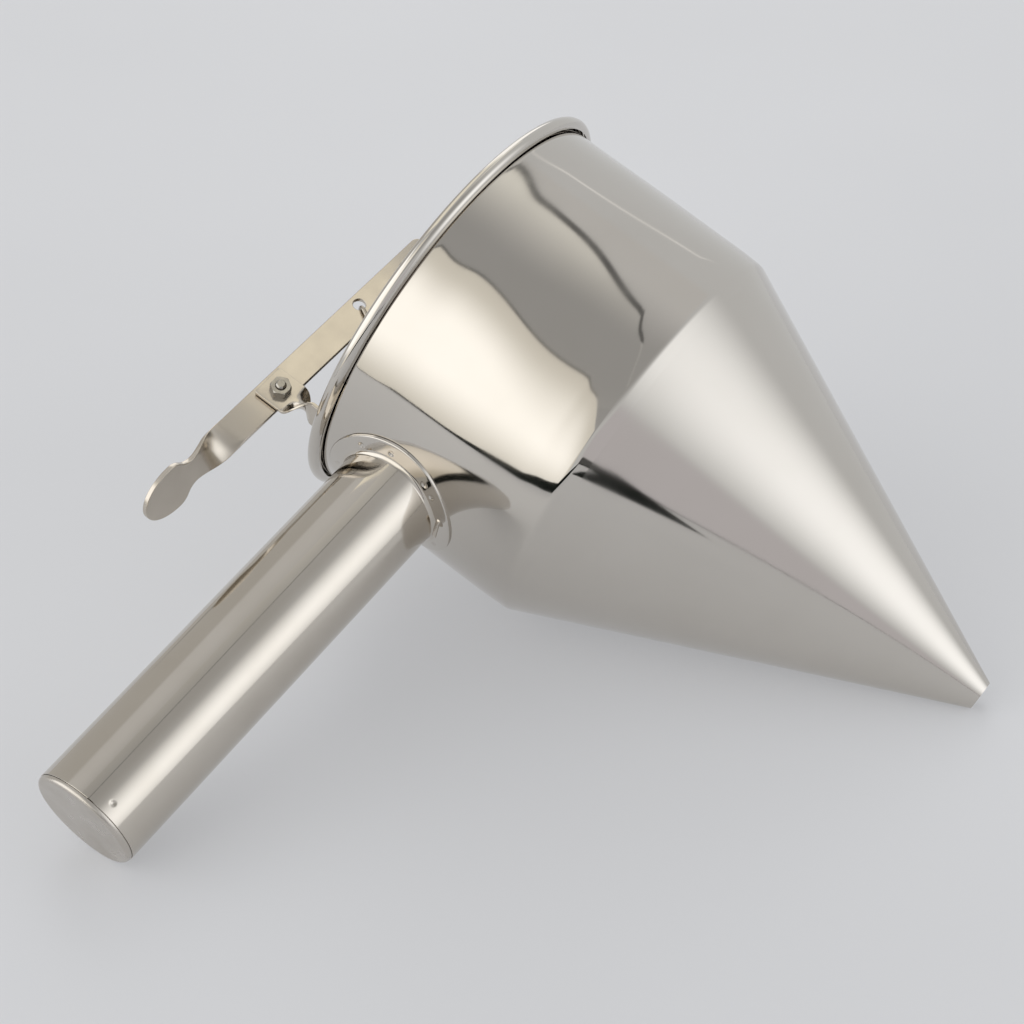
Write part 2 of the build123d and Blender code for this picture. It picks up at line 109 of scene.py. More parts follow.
# ---------------------------------------------------------------- where the tool lies
@dataclass(frozen=True)
class Resting:
    """The way from the upright tool, in millimetres, to the row frame, in metres."""

    axes: Matrix
    origin: Vector

    @classmethod
    def from_frame(cls, packed: dict, pivot: Vector) -> "Resting":
        """Read the tool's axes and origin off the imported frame.

        Args:
            pivot: The lever's pivot in the upright tool, in millimetres.

        Returns:
            The resting place of the whole tool.
        """
        hinge = next(joint for joint in packed["joints"] if joint["name"] == "lever_pivot")
        end = next(mount for mount in packed["record"]["mounts"] if mount["name"] == "handle_end")
        side = Vector(hinge["axis"]).normalized()
        along = Vector(end["axis"]).normalized()
        along = (along - along.dot(side) * side).normalized()
        axes = Matrix((along, side, along.cross(side))).transposed()
        return cls(axes, Vector(hinge["pos_m"]) - axes @ pivot * MM)

    def matrix(self) -> Matrix:
        """Matrix that lays an upright mesh down."""
        return Matrix.Translation(self.origin) @ (self.axes * MM).to_4x4()

    def point(self, place: Vector) -> Vector:
        """A point of the upright tool in the row frame."""
        return self.matrix() @ place


# ---------------------------------------------------------------- nodes and finishes
def linear(colour: str) -> tuple[float, float, float, float]:
    """Turn an sRGB hex colour to linear.

    Args:
        colour: Six hex digits after a hash.

    Returns:
        Linear red, green and blue, and an alpha of 1.
    """
    shares = [int(colour[place : place + 2], 16) / 255 for place in (1, 3, 5)]
    curve = [c / 12.92 if c <= 0.04045 else ((c + 0.055) / 1.055) ** 2.4 for c in shares]
    return (curve[0], curve[1], curve[2], 1.0)


def add_node(tree: NodeTree, kind: str, inputs: dict | None = None, **settings: object) -> Node:
    """Add one node to a tree.

    Args:
        tree: The node tree.
        kind: The node's type name.
        inputs: Per input, a value or the output that feeds it.
        settings: The node's own properties.

    Returns:
        The new node.
    """
    node = tree.nodes.new(kind)
    for name, value in settings.items():
        setattr(node, name, value)
    for name, value in (inputs or {}).items():
        if isinstance(value, NodeSocket):
            tree.links.new(value, node.inputs[name])
        else:
            node.inputs[name].default_value = value
    return node


def combine(tree: NodeTree, operation: str, first: NodeSocket, second: NodeSocket | float) -> NodeSocket:
    """Add a sum, product or comparison of two values."""
    return add_node(tree, "ShaderNodeMath", {0: first, 1: second}, operation=operation).outputs[0]


def mottle(tree: NodeTree, pattern: NodeSocket, colours: tuple[str, str]) -> NodeSocket:
    """Add a colour that goes from one shade to another with a pattern."""
    shades = {0: pattern, 6: linear(colours[0]), 7: linear(colours[1])}
    return add_node(tree, "ShaderNodeMix", shades, data_type="RGBA").outputs[2]


def fresh_tree(owner: Material | World) -> NodeTree:
    """Give a material or world an empty node tree."""
    owner.use_nodes = True
    owner.node_tree.nodes.clear()
    return owner.node_tree


@dataclass(frozen=True)
class SteelFinish:
    """Stainless steel and how its surface was worked. Lengths are real millimetres.

    The colour is the reflected tint. Haze is the share by which buffing residue makes the gloss
    uneven. Ripple is the slow waviness that bends reflections, and lines are the fine scratches
    that the abrasive leaves.
    """

    name: str
    colour: str
    stain: str
    roughness: float
    haze: float
    haze_size: float
    ripple_size: float
    ripple_depth: float
    line_spacing: float
    line_depth: float
    lay: Lay

    def material(self, resting: Resting) -> Material:
        """Make the finish.

        Args:
            resting: Where the tool lies, so that lines follow the piece.

        Returns:
            The material.
        """
        made = bpy.data.materials.new(self.name)
        tree = fresh_tree(made)
        place = add_node(tree, "ShaderNodeTexCoord").outputs["Object"]
        haze = self.pattern(tree, resting, place, (self.haze_size,) * 3, 3.0)
        ripple = self.pattern(tree, resting, place, (self.ripple_size,) * 3, 0.0)
        spacing = tuple(self.line_spacing * stretch for stretch in self.lay.value)
        lines = self.pattern(tree, resting, place, spacing, 2.0)
        gloss = add_node(
            tree,
            "ShaderNodeMapRange",
            {
                "Value": haze,
                "From Min": 0.3,
                "From Max": 0.7,
                "To Min": self.roughness * (1 - self.haze),
                "To Max": self.roughness * (1 + self.haze),
            },
        )
        wavy = add_node(tree, "ShaderNodeBump", {"Height": ripple, "Distance": self.ripple_depth * MM})
        grooves = {"Height": lines, "Distance": self.line_depth * MM, "Normal": wavy.outputs["Normal"]}
        scratched = add_node(tree, "ShaderNodeBump", grooves)
        shader = add_node(
            tree,
            "ShaderNodeBsdfPrincipled",
            {
                "Base Color": mottle(tree, haze, (self.colour, self.stain)),
                "Metallic": 1.0,
                "Roughness": gloss.outputs["Result"],
                "Normal": scratched.outputs["Normal"],
            },
        )
        add_node(tree, "ShaderNodeOutputMaterial", {"Surface": shader.outputs["BSDF"]})
        return made

    def pattern(
        self,
        tree: NodeTree,
        resting: Resting,
        place: NodeSocket,
        size: tuple[float, float, float],
        detail: float,
    ) -> NodeSocket:
        """Add noise whose grains have a real size along each of the upright tool's axes.

        Args:
            tree: The material's node tree.
            resting: Where the tool lies.
            place: The object coordinates.
            size: Grain size in millimetres, along the handle, the pivot and the funnel.
            detail: Octaves of finer noise.

        Returns:
            The noise, from 0 to 1.
        """
        turned = add_node(
            tree,
            "ShaderNodeMapping",
            {
                "Vector": place,
                "Location": resting.origin,
                "Rotation": resting.axes.to_euler(),
                "Scale": [length * MM for length in size],
            },
            vector_type="TEXTURE",
        )
        grain = {"Vector": turned.outputs[0], "Scale": 1.0, "Detail": detail}
        return add_node(tree, "ShaderNodeTexNoise", grain).outputs["Fac"]


# Spun 304 sheet, buffed to a mirror on the lathe: a faintly warm mirror with slow ripples.
SPUN_SHEET = SteelFinish(
    name="stainless_304_sheet_mirror_buffed",
    colour="#D2CDC6",
    stain="#CBC6BE",
    roughness=0.055,
    haze=0.35,
    haze_size=22.0,
    ripple_size=42.0,
    ripple_depth=0.12,
    line_spacing=0.5,
    line_depth=0.00025,
    lay=Lay.ROUND_FUNNEL,
)
# The same sheet rolled to a cone and buffed with a softer wheel: straighter, hazier reflections.
BUFFED_CONE = SteelFinish(
    name="stainless_304_cone_soft_buffed",
    colour="#D2CDC6",
    stain="#CBC6BE",
    roughness=0.095,
    haze=0.35,
    haze_size=30.0,
    ripple_size=60.0,
    ripple_depth=0.03,
    line_spacing=0.4,
    line_depth=0.00035,
    lay=Lay.ROUND_FUNNEL,
)
# Welded 304 tube, centreless buffed: straighter reflections with a slight haze.
BUFFED_TUBE = SteelFinish(
    name="stainless_304_tube_buffed",
    colour="#D0CAC1",
    stain="#C7C0B5",
    roughness=0.085,
    haze=0.35,
    haze_size=14.0,
    ripple_size=26.0,
    ripple_depth=0.02,
    line_spacing=0.4,
    line_depth=0.0003,
    lay=Lay.ROUND_HANDLE,
)
# Pressed 304 disc, linished: a satin grey with straight grain.
LINISHED_CAP = SteelFinish(
    name="stainless_304_disc_linished",
    colour="#CFC9C1",
    stain="#C2BCB3",
    roughness=0.3,
    haze=0.2,
    haze_size=9.0,
    ripple_size=18.0,
    ripple_depth=0.01,
    line_spacing=0.25,
    line_depth=0.0015,
    lay=Lay.ACROSS_FACE,
)
# Sheared 304 strip, tumbled: a pale, warm satin with soft edges.
TUMBLED_STRIP = SteelFinish(
    name="stainless_304_strip_tumbled",
    colour="#D0C8BC",
    stain="#C5BDB1",
    roughness=0.2,
    haze=0.25,
    haze_size=7.0,
    ripple_size=12.0,
    ripple_depth=0.012,
    line_spacing=0.3,
    line_depth=0.0008,
    lay=Lay.ALONG_STRIP,
)
# Cold-headed A2 screw, nut and washer: bright with tool marks.
HEADED_SCREW = SteelFinish(
    name="stainless_a2_cold_headed",
    colour="#B9B5AE",
    stain="#9F9A92",
    roughness=0.24,
    haze=0.3,
    haze_size=1.5,
    ripple_size=3.0,
    ripple_depth=0.004,
    line_spacing=0.2,
    line_depth=0.0015,
    lay=Lay.EVEN,
)
# Drawn 304 rod: even sheen with die lines along it.
DRAWN_ROD = SteelFinish(
    name="stainless_304_rod_drawn",
    colour="#C4BFB8",
    stain="#B3AEA6",
    roughness=0.2,
    haze=0.25,
    haze_size=4.0,
    ripple_size=12.0,
    ripple_depth=0.004,
    line_spacing=0.2,
    line_depth=0.001,
    lay=Lay.EVEN,
)
# Turned 304 bar: fine rings that catch the light.
TURNED_BAR = SteelFinish(
    name="stainless_304_bar_turned",
    colour="#C6C1B9",
    stain="#B5AFA7",
    roughness=0.22,
    haze=0.2,
    haze_size=4.0,
    ripple_size=10.0,
    ripple_depth=0.003,
    line_spacing=0.22,
    line_depth=0.002,
    lay=Lay.ROUND_FUNNEL,
)
# Hard-drawn 302 spring wire: slightly darker from the heat of stress relief.
SPRING_WIRE = SteelFinish(
    name="stainless_302_spring_wire",
    colour="#B5AFA5",
    stain="#A2998B",
    roughness=0.24,
    haze=0.3,
    haze_size=2.0,
    ripple_size=6.0,
    ripple_depth=0.002,
    line_spacing=0.15,
    line_depth=0.0008,
    lay=Lay.EVEN,
)


# ---------------------------------------------------------------- shaping helpers
def about(middle: Vector, step: Matrix) -> Matrix:
    """Matrix that does a turn or a stretch about a point."""
    there = Matrix.Translation(middle)
    return there @ step @ there.inverted()


def turned_by(middle: Vector, axis: Vector, degrees: float) -> Matrix:
    """Matrix that turns about an axis through a point."""
    return about(middle, Matrix.Rotation(math.radians(degrees), 4, axis))


def towards(azimuth: float) -> Vector:
    """Level direction at an azimuth in degrees."""
    return Matrix.Rotation(math.radians(azimuth), 3, "Z") @ ALONG


def upright(out: float, height: float) -> Vector:
    """Section point at a distance out from the funnel's axis and a height."""
    return Vector((out, 0, height))


def flat(along: float, across: float) -> Vector:
    """Point of a flat blank."""
    return Vector((along, across, 0))


def only(items: list, kind: type) -> list:
    """The items of one kind, such as a mesh's vertices."""
    return [item for item in items if isinstance(item, kind)]


class Outline:
    """A chain of edges, drawn from point to point, to be spun or filled."""

    def __init__(self, bm: BMesh, start: Vector) -> None:
        """Start the chain with one vertex.

        Args:
            bm: The mesh to draw in.
            start: The first point.
        """
        self.bm = bm
        self.first: BMVert = bmesh.ops.create_vert(bm, co=start)["vert"][0]
        self.last = self.first

    def line(self, end: Vector, parts: int = 1) -> "Outline":
        """Draw a straight run.

        Args:
            end: Where it ends.
            parts: How many edges it is made of.

        Returns:
            The outline itself.
        """
        step = (end - self.last.co) / parts
        for _ in range(parts):
            grown = bmesh.ops.extrude_vert_indiv(self.bm, verts=[self.last])["verts"]
            bmesh.ops.translate(self.bm, verts=grown, vec=step)
            self.last = grown[0]
        return self

    def lines(self, *ends: Vector) -> "Outline":
        """Draw straight runs of one edge each, from point to point."""
        for end in ends:
            self.line(end)
        return self

    def arc(self, middle: Vector, axis: Vector, degrees: float, steps: int) -> "Outline":
        """Draw an arc.

        Args:
            middle: The arc's centre.
            axis: The axis it turns about.
            degrees: The angle, right-handed about the axis.
            steps: How many edges it is made of.

        Returns:
            The outline itself.
        """
        angle = math.radians(degrees)
        swept = bmesh.ops.spin(
            self.bm, geom=[self.last], cent=middle, axis=axis, angle=angle, steps=steps, use_merge=False
        )
        self.last = only(swept["geom_last"], BMVert)[0]
        return self

    def strip_end(self, edge: float, half: float, corner: float, steps: int, way: int) -> "Outline":
        """Draw a flat strip's square end with its two rounded corners.

        Args:
            edge: Where the strip ends, along it.
            half: Half the strip's width.
            corner: Radius of the corners.
            steps: How many edges each corner is made of.
            way: 1 for the end further along the strip, -1 for the nearer one.

        Returns:
            The outline itself.
        """
        middle, side = edge - way * corner, way * (half - corner)
        self.arc(flat(middle, -side), UP, 90, steps)
        self.line(flat(edge, side))
        return self.arc(flat(middle, side), UP, 90, steps)

    def close(self) -> "Outline":
        """Join the last point to the first."""
        bmesh.ops.remove_doubles(self.bm, verts=[self.first, self.last], dist=SAME_POINT)
        if self.last.is_valid and self.last is not self.first and self.first.is_valid:
            self.bm.edges.new((self.last, self.first))
        return self


def revolve(bm: BMesh, middle: Vector, axis: Vector, segments: int) -> None:
    """Spin everything in a mesh once round an axis and close it.

    Args:
        bm: The mesh with the section.
        middle: A point on the axis.
        axis: The axis.
        segments: Faces round the turn.
    """
    section, whole_turn = bm.verts[:] + bm.edges[:], 2 * math.pi
    bmesh.ops.spin(
        bm, geom=section, cent=middle, axis=axis, angle=whole_turn, steps=segments, use_merge=True
    )
    bmesh.ops.remove_doubles(bm, verts=bm.verts[:], dist=SAME_POINT)
    bmesh.ops.dissolve_degenerate(bm, dist=SAME_POINT, edges=bm.edges[:])
    bmesh.ops.recalc_face_normals(bm, faces=bm.faces[:])


def everything(bm: BMesh) -> list:
    """All vertices, edges and faces of a mesh."""
    return bm.verts[:] + bm.edges[:] + bm.faces[:]


def slice_mesh(bm: BMesh, place: Vector, normal: Vector, keep_outer: bool = True) -> list:
    """Cut a mesh along a plane.

    Args:
        bm: The mesh.
        place: A point of the plane.
        normal: The plane's normal.
        keep_outer: Whether what lies beyond the plane stays.

    Returns:
        The vertices and edges on the cut.
    """
    return bmesh.ops.bisect_plane(
        bm,
        geom=everything(bm),
        dist=SAME_POINT,
        plane_co=place,
        plane_no=normal,
        clear_outer=not keep_outer,
    )["geom_cut"]


def dimple_depth(distance: float, radius: float, depth: float) -> float:
    """How deep the print of a ball is.

    Args:
        distance: From the print's centre.
        radius: The print's radius.
        depth: Its depth in the middle.

    Returns:
        The depth at that distance, 0 outside the print.
    """
    ball = (radius**2 + depth**2) / (2 * depth)
    if distance >= radius:
        return 0.0
    return math.sqrt(ball**2 - distance**2) - (ball - depth)


class Wire:
    """A round wire, drawn by sweeping a ring."""

    def __init__(self, bm: BMesh, start: Vector, heading: Vector, radius: float, sides: int) -> None:
        """Start the wire with a closed end.

        Args:
            bm: The mesh to draw in.
            start: The middle of the wire's first end.
            heading: The direction it sets out in.
            radius: The wire's radius.
            sides: Faces round the wire.
        """
        self.bm = bm
        self.middle = start.copy()
        self.heading = heading.normalized()
        turn = UP.rotation_difference(self.heading).to_matrix().to_4x4()
        ring = bmesh.ops.create_circle(
            bm, cap_ends=True, segments=sides, radius=radius, matrix=Matrix.Translation(start) @ turn
        )
        self.ends = [set(ring["verts"])]
        self.ring = ring["verts"] + list({edge for vert in ring["verts"] for edge in vert.link_edges})

    def straight(self, length: float, parts: int = 1) -> "Wire":
        """Go straight on for a length."""
        for _ in range(parts):
            self.move(Matrix.Translation(self.heading * (length / parts)))
        return self

    def bend(self, middle: Vector, axis: Vector, degrees: float, steps: int, rise: float = 0.0) -> "Wire":
        """Go round an arc or a coil.

        Args:
            middle: A point on the arc's axis.
            axis: The axis, right-handed.
            degrees: The angle, any number of turns.
            steps: Rings along it.
            rise: Travel along the axis over the whole angle.

        Returns:
            The wire itself.
        """
        axis = axis.normalized()
        for _ in range(steps):
            lift = Matrix.Translation(axis * (rise / steps))
            self.move(lift @ turned_by(middle, axis, degrees / steps))
        return self

    def blend_to(self, end: Vector, heading: Vector, steps: int) -> "Wire":
        """Go to a point in one smooth curve.

        Args:
            end: Where the wire's middle arrives.
            heading: The direction it arrives in.
            steps: Rings along the curve.

        Returns:
            The wire itself.
        """
        start, leaving, arriving = self.middle.copy(), self.heading.copy(), heading.normalized()
        reach = (end - start).length * CURVE_REACH
        knots = (start, start + leaving * reach, end - arriving * reach, end)
        for step in range(1, steps + 1):
            share = step / steps
            rest = 1 - share
            weights = (rest**3, 3 * rest**2 * share, 3 * rest * share**2, share**3)
            place = sum((knot * weight for knot, weight in zip(knots, weights)), Vector())
            slopes = (-(rest**2), rest**2 - 2 * rest * share, 2 * rest * share - share**2, share**2)
            ahead = sum((knot * weight for knot, weight in zip(knots, slopes)), Vector()).normalized()
            swing = self.heading.rotation_difference(ahead).to_matrix().to_4x4()
            here = Matrix.Translation(self.middle)
            self.move(Matrix.Translation(place - self.middle) @ here @ swing @ here.inverted())
        return self

    def move(self, step: Matrix) -> None:
        """Draw the ring out by one step."""
        grown = bmesh.ops.extrude_edge_only(self.bm, edges=only(self.ring, BMEdge))["geom"]
        verts = only(grown, BMVert)
        bmesh.ops.transform(self.bm, matrix=step, verts=verts)
        edges = only(grown, BMEdge)
        self.ring = verts + [edge for edge in edges if all(vert in verts for vert in edge.verts)]
        self.middle = step @ self.middle
        self.heading = (step.to_3x3() @ self.heading).normalized()

    def end(self, rounding: float) -> None:
        """Close the wire and round both its ends.

        Args:
            rounding: Radius of the rounding.
        """
        bmesh.ops.edgeloop_fill(self.bm, edges=only(self.ring, BMEdge))
        self.ends.append(set(only(self.ring, BMVert)))
        rims = [edge for end in self.ends for edge in self.bm.edges if end.issuperset(edge.verts)]
        bmesh.ops.bevel(
            self.bm,
            geom=rims,
            offset=rounding,
            segments=3,
            profile=0.5,
            affect="EDGES",
            material=-1,
            clamp_overlap=True,
        )
        bmesh.ops.recalc_face_normals(self.bm, faces=self.bm.faces[:])


class Strip:
    """A strip cut flat from sheet, with punched holes and rounded edges, then bent to shape.

    Flat, it runs along X with its width along Y. Each vertex remembers how far along it lies.
    """

    def __init__(self, thickness: float, edge_radius: float) -> None:
        """Start an empty blank.

        Args:
            thickness: The sheet's thickness.
            edge_radius: Rounding of the sheared edges.
        """
        self.bm = bmesh.new()
        self.thickness = thickness
        self.edge_radius = edge_radius
        self.tail = Matrix.Identity(4)
        self.run = None

    def punch(self, along: float, across: float, radius: float) -> None:
        """Draw a round hole in the blank."""
        place = Matrix.Translation((along, across, 0))
        bmesh.ops.create_circle(self.bm, cap_ends=False, segments=40, radius=radius, matrix=place)

    def cut(self) -> None:
        """Fill the outline and give it the sheet's thickness and rounded edges."""
        bmesh.ops.remove_doubles(self.bm, verts=self.bm.verts[:], dist=SAME_POINT)
        bmesh.ops.triangle_fill(self.bm, use_beauty=True, edges=self.bm.edges[:], normal=UP)
        for face in self.bm.faces:
            if face.normal.z < 0:
                face.normal_flip()
        half = self.thickness / 2
        middle = self.bm.faces[:]
        grown = bmesh.ops.extrude_face_region(self.bm, geom=middle, use_keep_orig=True)["geom"]
        top = only(grown, BMFace)
        bmesh.ops.translate(self.bm, verts=only(grown, BMVert), vec=UP * (half - self.edge_radius))
        bmesh.ops.delete(self.bm, geom=middle, context="FACES_ONLY")
        steps = 3
        for step in range(steps):
            before, after = math.radians(90 * step / steps), math.radians(90 * (step + 1) / steps)
            inward = self.edge_radius * (math.cos(before) - math.cos(after))
            upward = self.edge_radius * (math.sin(after) - math.sin(before))
            bmesh.ops.inset_region(
                self.bm, faces=top, thickness=inward, depth=0.0, use_boundary=True, use_even_offset=True
            )
            raised = list({vert for face in top for vert in face.verts})
            bmesh.ops.translate(self.bm, verts=raised, vec=UP * upward)
        loose = [edge for edge in self.bm.edges if not edge.link_faces]
        bmesh.ops.delete(self.bm, geom=loose, context="EDGES")
        bmesh.ops.mirror(self.bm, geom=everything(self.bm), merge_dist=SAME_POINT, axis="Z")
        bmesh.ops.remove_doubles(self.bm, verts=self.bm.verts[:], dist=SAME_POINT)
        bmesh.ops.recalc_face_normals(self.bm, faces=self.bm.faces[:])

    def score(self, places: list[float], normal: Vector) -> None:
        """Add a row of edges across the blank at each place along a direction."""
        for place in places:
            slice_mesh(self.bm, normal * place, normal)

    def measure(self) -> None:
        """Note each vertex's place along the blank before it is bent."""
        self.run = self.bm.verts.layers.float.new("run")
        for vert in self.bm.verts:
            vert[self.run] = vert.co.x

    def turn_beyond(self, place: float, axis: Vector, degrees: float, shift: Vector | None = None) -> None:
        """Turn everything past a row, about a line through the strip's middle there.

        Args:
            place: The row, along the flat blank.
            axis: The axis in the flat blank.
            degrees: The angle.
            shift: A move, in the flat blank's directions, that goes with the turn.
        """
        beyond = [vert for vert in self.bm.verts if vert[self.run] > place + SAME_POINT]
        about = self.tail @ Vector((place, 0, 0))
        step = turned_by(about, self.tail.to_3x3() @ axis, degrees)
        if shift is not None:
            step = Matrix.Translation(self.tail.to_3x3() @ shift) @ step
        bmesh.ops.transform(self.bm, matrix=step, verts=beyond)
        self.tail = step @ self.tail

    def bend(self, start: float, length: float, axis: Vector, degrees: float, steps: int) -> None:
        """Bend evenly over a length of the strip.

        Args:
            start: Where the bend starts, along the flat blank.
            length: How much of the strip it takes.
            axis: The axis in the flat blank.
            degrees: The angle.
            steps: Rows in the bend.
        """
        for step in range(steps):
            self.turn_beyond(start + length * (step + 0.5) / steps, axis, degrees / steps)

    def rows_of_bend(self, start: float, length: float, steps: int) -> list[float]:
        """Rows that a bend or a twist turns about, with its two ends."""
        return [start] + [start + length * (step + 0.5) / steps for step in range(steps)] + [start + length]

    def twist(self, start: float, length: float, degrees: float, steps: int, lean: float = 0.0) -> None:
        """Twist the strip about its own middle line, gently at both ends.

        Args:
            start: Where the twist starts, along the flat blank.
            length: How much of the strip it takes.
            degrees: The angle.
            steps: Rows in the twist.
            lean: How far the strip moves out of its face's side over the twist.
        """
        for step in range(steps):
            before, after = eased(step / steps), eased((step + 1) / steps)
            angle = math.radians(degrees * (before + after) / 2)
            aside = Vector((0, math.sin(angle), math.cos(angle))) * lean * (after - before)
            place = start + length * (step + 0.5) / steps
            self.turn_beyond(place, ALONG, degrees * (after - before), aside)


def eased(share: float) -> float:
    """Smooth step from 0 to 1, level at both ends."""
    return share * share * (3 - 2 * share)


def placed(name: str, bm: BMesh, material: Material) -> Object:
    """Turn a mesh in metres, which is used up, into an object of the scene."""
    mesh = bpy.data.meshes.new(name)
    bm.to_mesh(mesh)
    bm.free()
    mesh.materials.append(material)
    piece = bpy.data.objects.new(name, mesh)
    bpy.context.scene.collection.objects.link(piece)
    return piece


@dataclass
class Bench:
    """Lays finished meshes down in the row frame, dresses them and hands them to their bodies."""

    resting: Resting

    def __post_init__(self) -> None:
        """Start with no finishes made."""
        self.made: dict[str, Material] = {}

    def dress(self, finish: SteelFinish) -> Material:
        """The finish's material, made once."""
        if finish.name not in self.made:
            self.made[finish.name] = finish.material(self.resting)
        return self.made[finish.name]

    def hand_over(
        self, name: str, bm: BMesh, finish: SteelFinish, body: Body | None, sharp: float = 38.0
    ) -> Object:
        """Turn an upright mesh into a finished piece that replaces its CAD node.

        Args:
            name: The CAD node's name; the piece is called the same with _shown after it.
            bm: The upright mesh, which is used up.
            finish: Its finish.
            body: The body it rides on, or None to leave it on no body.
            sharp: Edges steeper than this many degrees stay sharp.

        Returns:
            The piece.
        """
        bmesh.ops.transform(bm, matrix=self.resting.matrix(), verts=bm.verts[:])
        piece = placed(f"{name}_shown", bm, self.dress(finish))
        piece.data.shade_smooth()
        piece.data.set_sharp_from_angle(angle=math.radians(sharp))
        even = piece.modifiers.new("even_normals", "WEIGHTED_NORMAL")
        even.keep_sharp = True
        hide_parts(name)
        if body is not None:
            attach(piece, body.value)
        log.info("%s: %d faces", name, len(piece.data.polygons))
        return piece


# ---------------------------------------------------------------- funnel
@dataclass(frozen=True)
class Funnel:
    """The spun bowl with its rolled rim, and the cone down to the outlet."""

    bowl_radius: float = 62.5
    bowl_height: float = 67.6
    cone_height: float = 124.0
    outlet_radius: float = 4.5
    sheet: float = 0.7
    bend_radius: float = 5.0
    lead_radius: float = 110.0
    lead: float = 5.0
    flare: float = 0.07
    flare_radius: float = 90.0
    wave_length: float = 52.0
    wave_height: float = 150.5
    wave_swing: float = 9.5
    wave_lobes: int = 5
    wave_turn: float = 68.0
    wave_depth: float = 0.09
    wave_oval: float = 0.05
    oval_turn: float = 23.0
    wave_fades: tuple[float, float] = (7.0, 14.0)
    lip: float = 3.0
    roll_radius: float = 2.0
    roll_turn: float = 285.0
    segments: int = 256

    @property
    def rim_height(self) -> float:
        """Height of the middle of the rolled rim."""
        return self.cone_height + self.bowl_height

    @property
    def inner_radius(self) -> float:
        """Inside of the bowl."""
        return self.bowl_radius - self.sheet

    @property
    def half_angle(self) -> float:
        """Angle between the cone's side and its axis, in degrees."""
        return math.degrees(math.atan2(self.bowl_radius - self.outlet_radius, self.cone_height))

    @property
    def lead_height(self) -> float:
        """Height at which the wall starts to ease into the shoulder."""
        slope = math.radians(self.half_angle)
        wider = (self.lead_radius - self.bend_radius) * math.cos(slope - math.radians(self.lead))
        rise = wider + self.bend_radius - self.lead_radius * math.cos(slope)
        return self.cone_height + rise / math.sin(slope)

    @property
    def bend_run(self) -> float:
        """From the shoulder's corner along the cone to where its bend ends."""
        slope, lead = math.radians(self.half_angle), math.radians(self.lead)
        drop = self.lead_height - self.cone_height
        drop -= (self.lead_radius - self.bend_radius) * math.sin(lead) + self.bend_radius * math.sin(slope)
        return -drop / math.cos(slope)

    def on_cone(self, along: float, inward: float) -> Vector:
        """Section point along the cone from the shoulder's corner, in from its outside."""
        slope = math.radians(self.half_angle)
        reach = self.bowl_radius - along * math.sin(slope) - inward * math.cos(slope)
        return upright(reach, self.cone_height - along * math.cos(slope) + inward * math.sin(slope))

    def unevenness(self, place: Vector) -> float:
        """How far the hand-spun wall stands out at a place, with slow waves up and round it.

        Args:
            place: A point of the wall.

        Returns:
            The distance out from the true cylinder, 0 at the shoulder and at the rim.
        """
        round_it = math.atan2(place.y, place.x)
        lobes = math.cos(self.wave_lobes * (round_it - math.radians(self.wave_turn)))
        oval = math.cos(2 * (round_it - math.radians(self.oval_turn)))
        crest = self.wave_height + self.wave_swing * lobes
        depth = self.wave_depth + self.wave_oval * oval
        foot_fade, rim_fade = self.wave_fades
        from_foot = min(max((place.z - self.cone_height) / foot_fade, 0.0), 1.0)
        roll_foot = self.rim_height - 2 * self.roll_radius
        to_rim = min(max((roll_foot - place.z) / rim_fade, 0.0), 1.0)
        wave = math.cos(2 * math.pi * (place.z - crest) / self.wave_length)
        return depth * wave * eased(from_foot) * eased(to_rim)

    def wall(self, outline: "Outline", inward: float, down: bool) -> None:
        """Draw the bowl's wall between the cone and the rim, at a depth in from its outside.

        The sheet eases into the shoulder before it bends, and flares a little under the rim.

        Args:
            outline: The section, at the wall's lower or upper end.
            inward: Depth in from the outside.
            down: Whether it is drawn from the rim down.
        """
        lead, last = self.lead, self.half_angle - self.lead
        radius = self.bowl_radius - inward
        flare_radius, waist = self.flare_radius + inward, radius - self.flare
        turn = math.degrees(math.acos(1 - self.flare / flare_radius))
        flare_run = flare_radius * math.sin(math.radians(turn))
        lead_middle = upright(self.bowl_radius - self.lead_radius, self.lead_height)
        spoke = Matrix.Rotation(math.radians(lead), 3, "Y") @ ALONG
        bend_middle = lead_middle + spoke * (self.lead_radius - self.bend_radius)
        flare_middle = upright(waist + flare_radius, self.rim_height - flare_run)
        arcs = [(bend_middle, -last, 8), (lead_middle, -lead, 10), None, (flare_middle, turn, 6)]
        straight = (upright(waist, flare_middle.z), upright(radius, self.lead_height))
        for arc in reversed(arcs) if down else arcs:
            if arc is None:
                outline.line(straight[down], 30)
            else:
                outline.arc(arc[0], SIDE, -arc[1] if down else arc[1], arc[2])

    def bowl(self) -> BMesh:
        """Spin the bowl: wall with its waves, rolled rim and the bend into the cone."""
        bm = bmesh.new()
        roll_middle = upright(self.inner_radius + self.roll_radius, self.rim_height)
        foot = self.bend_run + self.lip
        outline = Outline(bm, self.on_cone(foot, 0))
        outline.line(self.on_cone(self.bend_run, 0), 2)
        self.wall(outline, 0.0, down=False)
        outline.arc(roll_middle, SIDE, self.roll_turn, 30)
        inner_end = outline.last.co - roll_middle
        outline.line(roll_middle + inner_end.normalized() * self.roll_radius)
        outline.arc(roll_middle, SIDE, -self.roll_turn, 40)
        self.wall(outline, self.sheet, down=True)
        outline.line(self.on_cone(foot, self.sheet), 2)
        outline.close()
        revolve(bm, Vector(), UP, self.segments)
        for vert in bm.verts:
            vert.co += Vector((vert.co.x, vert.co.y, 0)).normalized() * self.unevenness(vert.co)
        return bm

